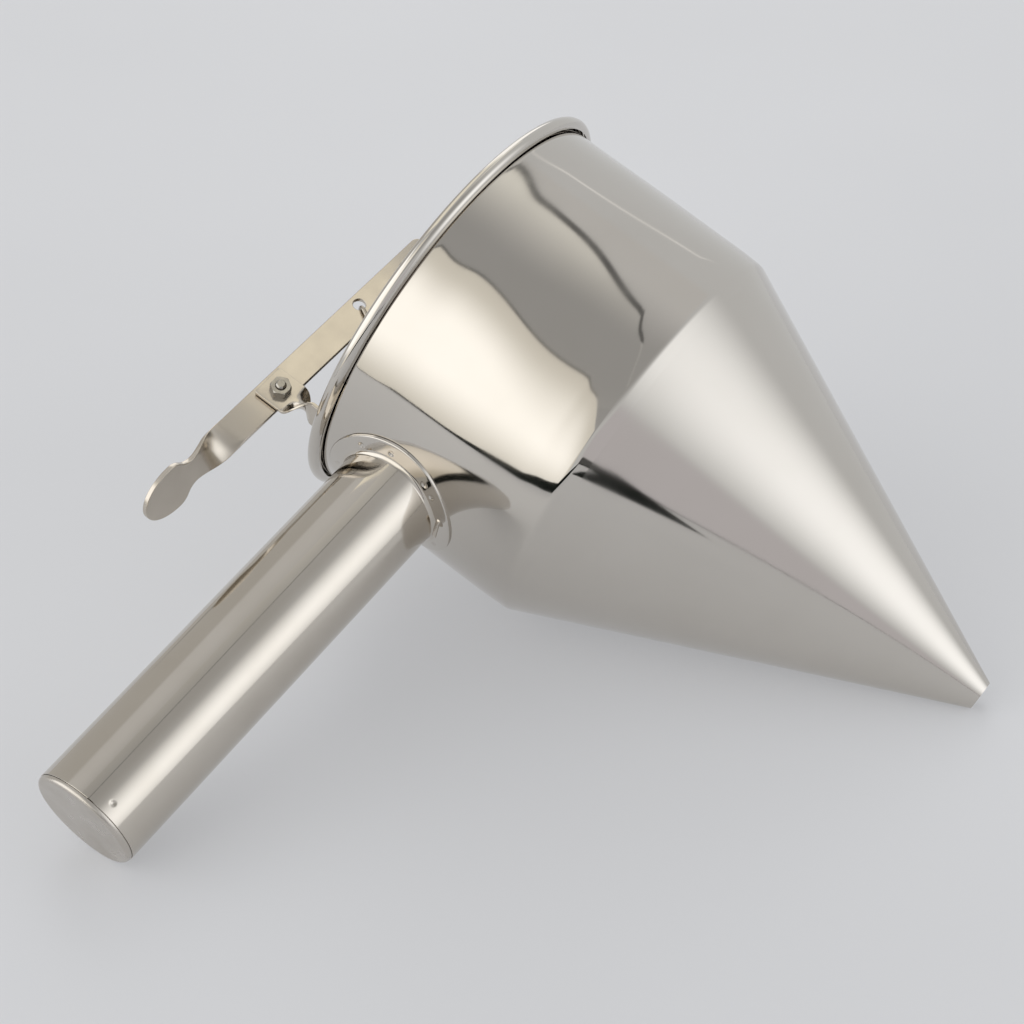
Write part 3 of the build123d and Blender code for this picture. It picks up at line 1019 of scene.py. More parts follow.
    def cone(self) -> BMesh:
        """Spin the cone down to the cut outlet."""
        bm = bmesh.new()
        slope = math.radians(self.half_angle)
        foot = self.bend_run + self.lip
        inner_tip = self.outlet_radius - self.sheet / math.cos(slope)
        outline = Outline(bm, self.on_cone(foot, 0))
        outline.line(upright(self.outlet_radius, 0), 16)
        outline.line(upright(inner_tip, 0))
        outline.line(self.on_cone(foot, self.sheet), 16)
        outline.close()
        revolve(bm, Vector(), UP, self.segments)
        return bm

    def build(self, bench: Bench) -> None:
        """Make the bowl and the cone."""
        bench.hand_over("bowl", self.bowl(), SPUN_SHEET, Body.FUNNEL)
        bench.hand_over("cone", self.cone(), BUFFED_CONE, Body.FUNNEL)


# ---------------------------------------------------------------- handle
@dataclass(frozen=True)
class Handle:
    """The tube handle: spot-welded flange, tube with a fillet weld, and pressed-in cap."""

    funnel: Funnel
    radius: float = 16.0
    wall: float = 0.8
    length: float = 126.4
    drop: float = 26.5
    flange_radius: float = 21.6
    flange_thickness: float = 0.8
    flange_edge: float = 0.25
    weld_ring: float = 18.6
    weld_angles: tuple[float, ...] = (43, 11, -29, -42, -70, -112, -150, 170, 137, 97)
    weld_radius: float = 1.0
    weld_depth: float = 0.3
    weld_margin: float = 0.3
    root_weld: float = 1.2
    saddle_run: float = 20.0
    tube_edge: float = 0.1
    cap_radius: float = 15.8
    cap_lip: float = 1.7
    cap_edge: float = 1.2
    cap_plate: float = 1.2
    skirt_length: float = 6.0
    skirt_wall: float = 0.8
    cap_fit: float = 0.05
    joint_gap: float = 0.15
    crimp_from_end: float = 3.4
    crimp_angles: tuple[float, ...] = (-23, 97, 217)
    crimp_radius: float = 0.9
    crimp_depth: float = 0.3
    crimp_band: float = 2.0
    flange_segments: int = 480
    tube_segments: int = 320
    cap_segments: int = 192

    @property
    def axis_height(self) -> float:
        """Height of the handle's axis."""
        return self.funnel.rim_height - self.drop

    @property
    def end(self) -> float:
        """Where the tube ends, from the funnel's axis."""
        return self.funnel.bowl_radius + self.length

    @property
    def flange_face(self) -> float:
        """Radius of the flange's outer face, from the funnel's axis."""
        return self.funnel.bowl_radius + self.flange_thickness

    def at(self, along: float, out: float) -> Vector:
        """Section point at a distance along the handle and out from its axis."""
        return Vector((along, 0, self.axis_height + out))

    def flange(self) -> BMesh:
        """Spin a flat ring with a rounded edge, print the spot welds and bend it round the bowl."""
        bm = bmesh.new()
        thick, edge, rim = self.flange_thickness, self.flange_edge, self.flange_radius
        inner = self.radius - 2
        weld_band = self.weld_radius + self.weld_margin
        outline = Outline(bm, self.at(0, inner))
        outline.line(self.at(0, rim), 4)
        outline.line(self.at(thick - edge, rim))
        outline.arc(self.at(thick - edge, rim - edge), SIDE, 90, 5)
        outline.line(self.at(thick, self.weld_ring + weld_band), 3)
        outline.line(self.at(thick, self.weld_ring - weld_band), 16)
        outline.line(self.at(thick, inner), 4)
        outline.close()
        revolve(bm, self.at(0, 0), ALONG, self.flange_segments)
        for vert in bm.verts:
            sunk = 0.0
            if vert.co.x > thick - edge / 10:
                sunk = max(self.weld_print(vert.co, angle) for angle in self.weld_angles)
            shell = self.funnel.bowl_radius + vert.co.x - sunk
            vert.co.x = math.sqrt(shell**2 - vert.co.y**2)
        return bm

    def weld_print(self, place: Vector, angle: float) -> float:
        """Depth of one spot weld's print at a place on the flange."""
        turn = math.radians(angle)
        across, up = self.weld_ring * math.cos(turn), self.weld_ring * math.sin(turn)
        away = (Vector((place.y, place.z)) - Vector((across, self.axis_height + up))).length
        return dimple_depth(away, self.weld_radius, self.weld_depth)

    def tube(self) -> BMesh:
        """Spin the tube with its root weld, print the crimps and seat the root on the flange."""
        bm = bmesh.new()
        root, radius, inner = self.root_weld, self.radius, self.radius - self.wall
        reach, saddle, edge = self.end - self.flange_face, self.saddle_run, self.tube_edge
        crimps = reach - self.crimp_from_end
        outline = Outline(bm, self.at(0, inner))
        outline.line(self.at(0, radius + root))
        outline.arc(self.at(root, radius + root), SIDE, -90, 6)
        outline.line(self.at(saddle, radius), 5)
        outline.line(self.at(crimps - self.crimp_band, radius), 8)
        outline.line(self.at(crimps + self.crimp_band, radius), 14)
        outline.line(self.at(reach - edge, radius), 2)
        outline.lines(self.at(reach, radius - edge), self.at(reach, inner))
        outline.line(self.at(saddle, inner), 2)
        outline.close()
        revolve(bm, self.at(0, 0), ALONG, self.tube_segments)
        for vert in bm.verts:
            out = Vector((0, vert.co.y, vert.co.z - self.axis_height))
            if abs(out.length - radius) < ON_FACE and vert.co.x > saddle:
                place = vert.co + ALONG * self.flange_face
                depth = max(self.crimp_print(place, angle) for angle in self.crimp_angles)
                vert.co -= out.normalized() * depth
            sag = self.flange_face - math.sqrt(self.flange_face**2 - vert.co.y**2)
            fade = max(0.0, 1 - max(0.0, vert.co.x - root) / (saddle - root))
            vert.co.x += self.flange_face - sag * fade
        return bm

    def crimp_print(self, place: Vector, angle: float) -> float:
        """Depth of one crimp's print at a place on the tube."""
        turn = math.radians(angle)
        around = Vector((0, math.cos(turn), math.sin(turn))) * self.radius
        middle = Vector((self.end - self.crimp_from_end, 0, self.axis_height)) + around
        return dimple_depth((place - middle).length, self.crimp_radius, self.crimp_depth)

    def cap(self) -> BMesh:
        """Spin the cap: a shallow pressed cup whose skirt sits in the tube."""
        bm = bmesh.new()
        rim, edge, lip = self.cap_radius, self.cap_edge, self.cap_lip
        skirt = self.radius - self.wall - self.cap_fit
        outline = Outline(bm, self.at(self.end + lip, 0))
        outline.line(self.at(self.end + lip, rim - edge), 10)
        outline.arc(self.at(self.end + lip - edge, rim - edge), SIDE, -90, 10)
        outline.lines(
            self.at(self.end + self.joint_gap, rim),
            self.at(self.end + self.joint_gap, skirt),
            self.at(self.end - self.skirt_length, skirt),
            self.at(self.end - self.skirt_length, skirt - self.skirt_wall),
            self.at(self.end + lip - self.cap_plate, skirt - self.skirt_wall),
            self.at(self.end + lip - self.cap_plate, 0),
        )
        outline.close()
        revolve(bm, self.at(0, 0), ALONG, self.cap_segments)
        return bm

    def build(self, bench: Bench) -> None:
        """Make the flange, the tube and the cap."""
        bench.hand_over("handle_flange", self.flange(), SPUN_SHEET, Body.FUNNEL)
        bench.hand_over("handle_tube", self.tube(), BUFFED_TUBE, Body.FUNNEL)
        bench.hand_over("handle_cap", self.cap(), LINISHED_CAP, Body.FUNNEL)


# ---------------------------------------------------------------- lever
@dataclass(frozen=True)
class Lever:
    """The flat lever that is twisted into a thumb pad at its outer end."""

    funnel: Funnel
    pivot_inside_bowl: float = 4.5
    pivot_above_rim: float = 18.1
    width: float = 9.5
    thickness: float = 1.5
    slope: float = 1.4
    middle_above_pivot: float = 1.5
    past_axis: float = 11.0
    end_radius: float = 2.5
    twist_start: float = 17.2
    twist_length: float = 17.8
    twist: float = 76.0
    pad_length: float = 19.8
    pad_width: float = 17.2
    pad_widest: float = 8.0
    bolt_hole: float = 1.56
    rod_hole: float = 1.8
    spring_hole: float = 1.9
    spring_hole_from_axis: float = 19.5
    spring_hole_above_middle: float = 1.4
    edge_radius: float = 0.22

    @property
    def pivot(self) -> Vector:
        """The pivot in the lever's middle plane."""
        reach = self.funnel.bowl_radius - self.pivot_inside_bowl
        return upright(reach, self.funnel.rim_height + self.pivot_above_rim)

    def frame(self) -> Matrix:
        """Place of the flat blank: X along the lever from the pivot, Y up across it."""
        slope = math.radians(self.slope)
        along = Vector((math.cos(slope), 0, math.sin(slope)))
        across = Vector((-math.sin(slope), 0, math.cos(slope)))
        middle = self.pivot + across * self.middle_above_pivot
        axes = Matrix((along, across, along.cross(across))).transposed()
        return Matrix.Translation(middle) @ axes.to_4x4()

    def along(self, from_axis: float, above_middle: float) -> float:
        """Distance along the blank of its point at a distance from the funnel's axis."""
        slope = math.radians(self.slope)
        up = self.middle_above_pivot + above_middle
        return (from_axis - self.pivot.x + up * math.sin(slope)) / math.cos(slope)

    def blank(self) -> BMesh:
        """Cut the blank, punch it, and twist its outer end into the pad."""
        strip = Strip(self.thickness, self.edge_radius)
        half, corner = self.width / 2, self.end_radius
        inner = self.along(-self.past_axis, 0)
        neck = self.twist_start + self.twist_length
        shift, run = self.pad_width / 2 - half, self.pad_widest
        flare = (shift**2 + run**2) / (4 * shift)
        swing = math.degrees(2 * math.atan2(shift, run))
        wide = self.pad_width / 2
        outline = Outline(strip.bm, flat(neck, half))
        outline.line(flat(inner + corner, half), 6)
        outline.strip_end(inner, half, corner, 8, way=-1)
        outline.line(flat(neck, -half), 6)
        outline.arc(flat(neck, -half - flare), UP, -swing, 8)
        outline.arc(flat(neck + run, -wide + flare), UP, swing, 8)
        before = set(strip.bm.verts)
        outline.arc(flat(neck + run, 0), UP, 180, 32)
        stretch = Matrix.Diagonal(((self.pad_length - run) / wide, 1, 1, 1))
        tip = [vert for vert in strip.bm.verts if vert not in before]
        bmesh.ops.transform(strip.bm, matrix=about(flat(neck + run, 0), stretch), verts=tip)
        outline.arc(flat(neck + run, wide - flare), UP, swing, 8)
        outline.arc(flat(neck, half + flare), UP, -swing, 8)
        strip.punch(0, -self.middle_above_pivot, self.bolt_hole)
        strip.punch(self.along(0, 0), 0, self.rod_hole)
        spring_up = self.spring_hole_above_middle
        strip.punch(self.along(self.spring_hole_from_axis, spring_up), spring_up, self.spring_hole)
        strip.cut()
        steps = 36
        strip.score(strip.rows_of_bend(self.twist_start, self.twist_length, steps), ALONG)
        strip.measure()
        strip.twist(self.twist_start, self.twist_length, -self.twist, steps)
        bmesh.ops.transform(strip.bm, matrix=self.frame(), verts=strip.bm.verts[:])
        return strip.bm

    def build(self, bench: Bench) -> None:
        """Make the lever."""
        bench.hand_over("lever", self.blank(), TUMBLED_STRIP, Body.LEVER)


# ---------------------------------------------------------------- bracket
@dataclass(frozen=True)
class Bracket:
    """The strip that carries the lever: ear, quarter twist, joggle, leg on the wall and foot tab."""

    lever: Lever
    width: float = 11.0
    thickness: float = 1.2
    side_play: float = 0.1
    washer: float = 0.4
    ear_above_pivot: float = 5.0
    ear_corner: float = 0.6
    twist_drop: float = 4.2
    twist_length: float = 7.6
    lean: float = 0.6
    joggle_below_rim: float = 2.0
    joggle_height: float = 9.0
    joggle_bend: float = 1.4
    wall_gap: float = 0.1
    tab_below_rim: float = 44.0
    tab_reach: float = 9.5
    tab_bend: float = 1.2
    tab_corner: float = 2.0
    tab_hole: float = 1.3
    tab_hole_edge: float = 2.2
    bolt_hole: float = 1.55
    edge_radius: float = 0.18

    @property
    def ear_face(self) -> float:
        """The ear's face towards the lever."""
        return self.lever.thickness / 2 + self.side_play + self.washer

    @property
    def leg_middle(self) -> float:
        """Radius of the middle of the leg's sheet, from the funnel's axis."""
        return self.lever.funnel.inner_radius - self.wall_gap - self.thickness / 2

    @property
    def tab_height(self) -> float:
        """Height of the tab's underside."""
        return self.lever.funnel.rim_height - self.tab_below_rim

    def blank(self) -> BMesh:
        """Cut the blank and give it its twist, joggle, curve and tab."""
        strip = Strip(self.thickness, self.edge_radius)
        funnel, pivot = self.lever.funnel, self.lever.pivot
        half = self.width / 2
        out = self.leg_middle - pivot.x
        joggle_run = math.hypot(out, self.joggle_height)
        lean_out = math.degrees(math.atan2(out, self.joggle_height))
        joggle_top = pivot.z - (funnel.rim_height - self.joggle_below_rim)
        joggle_foot = joggle_top + joggle_run
        bend = self.tab_bend + self.thickness / 2
        foot_drop = funnel.rim_height - self.joggle_below_rim - self.joggle_height - self.tab_height
        tab_start = joggle_foot + foot_drop - self.thickness / 2 - bend
        bend_run = bend * math.pi / 2
        tab_flat = self.leg_middle - bend - (funnel.inner_radius - self.tab_reach)
        end = tab_start + bend_run + tab_flat
        hole = end - self.tab_hole_edge - self.tab_hole
        top, corner, tip = -self.ear_above_pivot, self.ear_corner, self.tab_corner
        outline = Outline(strip.bm, flat(end - tip, half))
        outline.line(flat(top + corner, half), 10)
        outline.strip_end(top, half, corner, 4, way=-1)
        outline.line(flat(end - tip, -half), 10)
        outline.strip_end(end, half, tip, 6, way=1)
        strip.punch(0, 0, self.bolt_hole)
        strip.punch(hole, self.ear_face + self.thickness / 2 + self.lean, self.tab_hole)
        strip.cut()
        twist_steps, bend_steps, soft = 24, 6, self.joggle_bend
        bends = (
            (joggle_top - soft / 2, soft, -lean_out, bend_steps),
            (joggle_foot - soft / 2, soft, lean_out, bend_steps),
            (tab_start, bend_run, 90, bend_steps * 2),
        )
        strip.score(strip.rows_of_bend(self.twist_drop, self.twist_length, twist_steps), ALONG)
        for start, length, _, steps in bends:
            strip.score(strip.rows_of_bend(start, length, steps), ALONG)
        strip.score([joggle_top + joggle_run * step / 5 for step in range(1, 5)], ALONG)
        strip.score([half * step / 5 for step in range(-4, 5)], SIDE)
        strip.measure()
        strip.twist(self.twist_drop, self.twist_length, 90, twist_steps, self.lean)
        for start, length, degrees, steps in bends:
            strip.bend(start, length, SIDE, degrees, steps)
        runs = {vert: vert[strip.run] for vert in strip.bm.verts}
        hanging = Matrix((-UP, ALONG, SIDE)).transposed().to_4x4()
        ear = Vector((pivot.x, self.ear_face + self.thickness / 2, pivot.z))
        bmesh.ops.transform(strip.bm, matrix=Matrix.Translation(ear) @ hanging, verts=strip.bm.verts[:])
        for vert, run in runs.items():
            onto_wall = min(max((run - joggle_top) / joggle_run, 0.0), 1.0)
            off_wall = min(max((run - tab_start - bend_run) / tab_flat, 0.0), 1.0)
            sag = self.leg_middle - math.sqrt(self.leg_middle**2 - vert.co.y**2)
            vert.co.x -= sag * onto_wall * (1 - off_wall)
        return strip.bm

    def build(self, bench: Bench) -> None:
        """Make the bracket."""
        bench.hand_over("lever_bracket", self.blank(), TUMBLED_STRIP, Body.FUNNEL)


# ---------------------------------------------------------------- pivot fasteners
@dataclass(frozen=True)
class PivotFasteners:
    """The M3 pan-head bolt, the washer and the nut that the lever turns on."""

    bracket: Bracket
    bolt_radius: float = 1.5
    head_radius: float = 2.75
    head_height: float = 1.9
    slot_width: float = 0.8
    slot_depth: float = 0.9
    past_nut: float = 1.0
    end_chamfer: float = 0.4
    thread_pitch: float = 0.5
    thread_depth: float = 0.1
    thread_in_nut: float = 0.2
    across_flats: float = 5.5
    nut_height: float = 2.4
    corner_cut: float = 0.35
    hole_chamfer: float = 0.2
    washer_radius: float = 3.0
    washer_edge: float = 0.08
    clearance: float = 0.05
    segments: int = 64
    nut_segments: int = 96

    @property
    def head_face(self) -> float:
        """The head's face towards the lever."""
        return -(self.bracket.lever.thickness / 2 + self.bracket.side_play)

    @property
    def nut_face(self) -> float:
        """The nut's face on the ear."""
        return self.bracket.ear_face + self.bracket.thickness

    def at(self, along: float, out: float) -> Vector:
        """Section point at a place along the bolt and out from its axis."""
        pivot = self.bracket.lever.pivot
        return Vector((pivot.x, along, pivot.z + out))

    def bolt(self) -> BMesh:
        """Spin the bolt with its thread's end, and sink the slot into its head."""
        bm = bmesh.new()
        top = self.head_face - self.head_height
        rounding = self.head_height / 2
        end = self.nut_face + self.nut_height + self.past_nut
        outline = Outline(bm, self.at(top, 0))
        outline.line(self.at(top, self.head_radius - rounding), 3)
        outline.arc(self.at(top + rounding, self.head_radius - rounding), ALONG, -90, 6)
        outline.lines(self.at(self.head_face, self.head_radius), self.at(self.head_face, self.bolt_radius))
        place, pitch = self.nut_face + self.nut_height - self.thread_in_nut, self.thread_pitch
        outline.line(self.at(place, self.bolt_radius))
        while place + pitch < end - self.end_chamfer:
            root = self.at(place + pitch / 2, self.bolt_radius - self.thread_depth)
            outline.lines(root, self.at(place + pitch, self.bolt_radius))
            place += pitch
        outline.line(self.at(end - self.end_chamfer, self.bolt_radius))
        outline.line(self.at(end, self.bolt_radius - self.end_chamfer))
        outline.line(self.at(end, 0), 2)
        revolve(bm, self.at(0, 0), SIDE, self.segments)
        half = self.slot_width / 2
        for side in (-half, half):
            slice_mesh(bm, self.at(0, side), UP)
        floor = top + self.slot_depth
        band = [face for face in bm.faces if self.in_slot(face, top + rounding + SAME_POINT)]
        grown = bmesh.ops.extrude_face_region(bm, geom=band)["geom"]
        flatten = Matrix.Translation((0, floor, 0)) @ Matrix.Diagonal((1, 0, 1, 1))
        bmesh.ops.transform(bm, matrix=flatten, verts=only(grown, BMVert))
        bmesh.ops.recalc_face_normals(bm, faces=bm.faces[:])
        return bm

    def in_slot(self, face: BMFace, deepest: float) -> bool:
        """Whether a face of the head lies in the slot's band."""
        level = self.bracket.lever.pivot.z
        half = self.slot_width / 2 + ON_FACE
        return all(vert.co.y < deepest and abs(vert.co.z - level) < half for vert in face.verts)

    def washer(self) -> BMesh:
        """Spin the washer."""
        bm = bmesh.new()
        near = self.bracket.ear_face - self.bracket.washer
        far, hole = self.bracket.ear_face, self.bolt_radius + self.clearance
        rim, edge = self.washer_radius, self.washer_edge
        outline = Outline(bm, self.at(near, hole))
        outline.line(self.at(near, rim - edge), 2)
        outline.arc(self.at(near + edge, rim - edge), ALONG, -90, 3)
        outline.line(self.at(far - edge, rim))
        outline.arc(self.at(far - edge, rim - edge), ALONG, -90, 3)
        outline.line(self.at(far, hole), 2)
        outline.close()
        revolve(bm, self.at(0, 0), SIDE, self.segments)
        return bm

    def nut(self) -> BMesh:
        """Spin a round nut with cut corners and slice its six flats."""
        bm = bmesh.new()
        near, far = self.nut_face, self.nut_face + self.nut_height
        rim, cut, hole = self.across_flats / math.sqrt(3), self.corner_cut, self.bolt_radius
        outline = Outline(bm, self.at(near, hole))
        outline.lines(self.at(near, rim - cut), self.at(near + cut, rim), self.at(far - cut, rim))
        outline.lines(self.at(far, rim - cut), self.at(far, hole + self.hole_chamfer))
        outline.line(self.at(far - self.hole_chamfer, hole))
        outline.close()
        revolve(bm, self.at(0, 0), SIDE, self.nut_segments)
        for corner in range(6):
            turn = math.radians(60 * corner + 30)
            away = Vector((math.cos(turn), 0, math.sin(turn)))
            face_middle = self.at(0, 0) + away * (self.across_flats / 2)
            cut_edges = slice_mesh(bm, face_middle, away, keep_outer=False)
            bmesh.ops.edgeloop_fill(bm, edges=only(cut_edges, BMEdge))
        bmesh.ops.recalc_face_normals(bm, faces=bm.faces[:])
        return bm

    def build(self, bench: Bench) -> None:
        """Make the bolt, the washer and the nut."""
        bench.hand_over("pivot_bolt", self.bolt(), HEADED_SCREW, Body.FUNNEL, 30.0)
        bench.hand_over("pivot_washer", self.washer(), HEADED_SCREW, Body.FUNNEL)
        bench.hand_over("pivot_nut", self.nut(), HEADED_SCREW, Body.FUNNEL, 15.0)


# ---------------------------------------------------------------- plug rod and plug
@dataclass(frozen=True)
class PlugRod:
    """The rod that hangs on the lever by its hook, and the plug that shuts the outlet."""

    lever: Lever
    radius: float = 1.6
    hook_radius: float = 3.0
    hook_reach: float = 4.0
    hook_tail: float = 2.5
    arm_length: float = 9.0
    sway_height: float = 7.0
    end_rounding: float = 0.3
    seat_gap: float = 0.15
    recess: float = 0.8
    cone_height: float = 7.5
    collar_height: float = 2.5
    edge_radius: float = 0.6
    neck_radius: float = 3.2
    neck_height: float = 7.0
    neck_chamfer: float = 0.3
    socket_depth: float = 8.0
    socket_fit: float = 0.02
    segments: int = 128

    @property
    def top(self) -> float:
        """Height of the top of the plug's neck."""
        return self.recess + self.cone_height + self.collar_height + self.neck_height

    def seat_radius(self, height: float) -> float:
        """Radius of the plug's seat in the cone at a height."""
        funnel = self.lever.funnel
        slope = math.radians(funnel.half_angle)
        inward = (funnel.sheet + self.seat_gap) / math.cos(slope)
        return funnel.outlet_radius + height * math.tan(slope) - inward

    def rod(self) -> BMesh:
        """Draw the rod from the plug's socket up to the hook over the lever."""
        bm = bmesh.new()
        hook = (self.lever.frame() @ Vector((self.lever.along(0, 0), 0, 0))).z
        foot, arm_foot = self.top - self.socket_depth, hook - self.arm_length
        sway_start = arm_foot - self.sway_height
        sway = (self.hook_reach**2 + self.sway_height**2) / (4 * self.hook_reach)
        swing = math.degrees(2 * math.atan2(self.hook_reach, self.sway_height))
        inset = self.hook_reach - self.hook_radius
        wire = Wire(bm, Vector((0, 0, foot)), UP, self.radius, 32)
        wire.straight(sway_start - foot, 6)
        wire.bend(Vector((0, -sway, sway_start)), ALONG, swing, 10)
        wire.bend(Vector((0, sway - self.hook_reach, arm_foot)), ALONG, -swing, 10)
        wire.straight(hook - self.hook_radius - arm_foot, 2)
        wire.bend(Vector((0, -inset, hook - self.hook_radius)), ALONG, -90, 12)
        wire.straight(2 * inset, 2)
        wire.bend(Vector((0, inset, hook - self.hook_radius)), ALONG, -90, 12)
        wire.straight(self.hook_tail)
        wire.end(self.end_rounding)
        return bm

    def plug(self) -> BMesh:
        """Turn the plug: blunt nose, seat cone, collar and neck with the rod's socket."""
        bm = bmesh.new()
        shoulder = self.recess + self.cone_height
        rim, nose = self.seat_radius(shoulder), self.seat_radius(self.recess)
        neck_foot = shoulder + self.collar_height
        round_off = self.edge_radius
        socket = self.radius + self.socket_fit
        slope = math.radians(self.lever.funnel.half_angle)
        lower_run = round_off * math.tan(slope / 2)
        outline = Outline(bm, upright(0, self.recess))
        outline.line(upright(nose, self.recess), 2)
        seat = upright(math.sin(slope), math.cos(slope))
        outline.line(upright(rim, shoulder) - seat * lower_run, 4)
        outline.arc(upright(rim - round_off, shoulder + lower_run), SIDE, -math.degrees(slope), 4)
        outline.line(upright(rim, neck_foot - round_off))
        outline.arc(upright(rim - round_off, neck_foot - round_off), SIDE, -90, 6)
        outline.line(upright(self.neck_radius, neck_foot))
        outline.line(upright(self.neck_radius, self.top - self.neck_chamfer), 2)
        outline.lines(upright(self.neck_radius - self.neck_chamfer, self.top), upright(socket, self.top))
        outline.line(upright(socket, self.top - self.socket_depth), 2)
        outline.line(upright(0, self.top - self.socket_depth))
        revolve(bm, Vector(), UP, self.segments)
        return bm

    def build(self, bench: Bench) -> None:
        """Make the rod and the plug."""
        bench.hand_over("plug_rod", self.rod(), DRAWN_ROD, Body.PLUG)
        bench.hand_over("valve_plug", self.plug(), TURNED_BAR, Body.PLUG, 30.0)


# ---------------------------------------------------------------- return spring
@dataclass(frozen=True)
class ReturnSpring:
    """The tension spring from the lever's hole down to the bracket's tab."""

    bracket: Bracket
    wire: float = 0.6
    coil_radius: float = 4.0
    turns: int = 28
    upper_arm: float = 16.0
    lower_arm: float = 11.0
    hook_radius: float = 2.3
    hook_turn: float = 200.0
    hook_bend: float = 3.5
    lead: float = 40.0
    seat_gap: float = 0.03
    end_rounding: float = 0.15

    def ends(self) -> tuple[Vector, Vector]:
        """Where the spring hooks into the lever and round the tab."""
        lever, bracket = self.bracket.lever, self.bracket
        up = lever.spring_hole_above_middle
        top = lever.frame() @ Vector((lever.along(lever.spring_hole_from_axis, up), up, 0))
        edge = lever.funnel.inner_radius - bracket.tab_reach
        tab_middle = bracket.tab_height + bracket.thickness / 2
        return top, upright(edge + bracket.tab_hole_edge / 2, tab_middle)

    def frame(self) -> Matrix:
        """Place of the upright spring: Z along it, X out of the lever's side."""
        top, foot = self.ends()
        run = (foot - top).normalized()
        axes = Matrix((SIDE, run.cross(SIDE), run)).transposed()
        return Matrix.Translation(top) @ axes.to_4x4()

    def seats(self) -> tuple[float, float]:
        """Heights of the two hooks' loop centres above the lever's hole."""
        lever, bracket = self.bracket.lever, self.bracket
        top, foot = self.ends()
        run = foot - top
        inside = self.hook_radius - self.wire
        crown = inside - math.sqrt(inside**2 - (lever.thickness / 2) ** 2)
        upper = lever.spring_hole - self.wire - crown - self.seat_gap
        corner = upright(bracket.tab_hole_edge / 2, -bracket.thickness / 2)
        corner_along = corner.dot(run.normalized())
        corner_across = math.sqrt(corner.length_squared - corner_along**2)
        lower = math.sqrt((inside - self.seat_gap) ** 2 - corner_across**2) - corner_along
        return upper + self.hook_radius, run.length - lower

    def coil(self) -> BMesh:
        """Draw the wire: hook, arm, close-wound coil, arm and hook."""
        bm = bmesh.new()
        top_loop, foot_loop = self.seats()
        run = self.ends()[1] - self.ends()[0]
        coil_top, coil_foot = self.upper_arm, run.length - self.lower_arm
        start_turn = math.radians(self.hook_turn - 90)
        side, drop = self.hook_radius * math.sin(start_turn), self.hook_radius * math.cos(start_turn)
        leaving = Vector((drop, 0, -side))
        wire = Wire(bm, Vector((-side, 0, top_loop - drop)), leaving, self.wire, 14)
        wire.bend(Vector((0, 0, top_loop)), SIDE, -self.hook_turn, 24)
        wire.straight(coil_top - self.hook_bend - top_loop, 6)
        turns = self.turns + (90 - 2 * self.lead) / 360
        rise = coil_foot - coil_top
        pitch_slope = rise / turns / (2 * math.pi * self.coil_radius)
        lead = math.radians(self.lead)
        first = Vector((math.cos(lead), math.sin(lead), 0)) * self.coil_radius + UP * coil_top
        tangent = Vector((-math.sin(lead), math.cos(lead), pitch_slope)).normalized()
        wire.blend_to(first, tangent, 12)
        wire.bend(Vector(), UP, turns * 360, self.turns * 26, rise)
        wire.blend_to(Vector((0, self.hook_radius, coil_foot + self.hook_bend)), UP, 12)
        wire.straight(foot_loop - coil_foot - self.hook_bend, 3)
        wire.bend(Vector((0, 0, foot_loop)), ALONG, self.hook_turn, 24)
        wire.end(self.end_rounding)
        bmesh.ops.transform(bm, matrix=self.frame(), verts=bm.verts[:])
        return bm

    def build(self, bench: Bench) -> None:
        """Make the spring, which stretches between the lever and the bracket."""
        top, foot = self.ends()
        run = (foot - top).normalized()
        length = (foot - top).length
        spring = bench.hand_over("return_spring", self.coil(), SPRING_WIRE, None, 60.0)
        start = bench.resting.point(top + run * self.upper_arm)
        end = bench.resting.point(top + run * (length - self.lower_arm))
        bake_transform(spring)


# ---------------------------------------------------------------- studio
@dataclass(frozen=True)
class Panel:
    """A soft light or a plain wall of the tent, as a rectangle in the direction it is seen in.

    Azimuth and elevation say which way it faces from the middle of the table, and roll turns it
    in its own plane. Across and upward are its edges, and blurs how softly they fade, all in
    degrees from where it faces.
    """

    azimuth: float
    elevation: float
    across: tuple[float, float]
    upward: tuple[float, float]
    strength: float
    colour: str = "#FFFFFF"
    roll: float = 0.0
    blurs: tuple[float, float] = (0.3, 0.3)

    def mask(self, tree: NodeTree, direction: NodeSocket) -> NodeSocket:
        """Add nodes that are 1 inside the panel and 0 outside.

        Args:
            tree: The world's node tree.
            direction: The direction that is looked in.

        Returns:
            The mask.
        """
        facing = [math.radians(turn) for turn in (self.roll, -self.elevation, self.azimuth)]
        turned = add_node(
            tree,
            "ShaderNodeMapping",
            {"Vector": direction, "Rotation": Euler(facing).to_matrix().inverted().to_euler()},
            vector_type="POINT",
        )
        ahead, *sideways = add_node(tree, "ShaderNodeSeparateXYZ", {0: turned.outputs[0]}).outputs
        mask = combine(tree, "GREATER_THAN", ahead, 0.0)
        for side, edges, blur in zip(sideways, (self.across, self.upward), self.blurs):
            slope = combine(tree, "DIVIDE", side, ahead)
            for edge, inward in zip(edges, (1, -1)):
                share = self.fade(tree, slope, edge - inward * blur, edge + inward * blur)
                mask = combine(tree, "MULTIPLY", mask, share)
        return mask

    def fade(self, tree: NodeTree, slope: NodeSocket, dark: float, lit: float) -> NodeSocket:
        """Add a smooth step from 0 at one angle to 1 at another, both in degrees."""
        low, high = math.tan(math.radians(dark)), math.tan(math.radians(lit))
        edge = {"Value": slope, "From Min": low, "From Max": high}
        step = add_node(tree, "ShaderNodeMapRange", edge, interpolation_type="SMOOTHSTEP")
        return step.outputs["Result"]


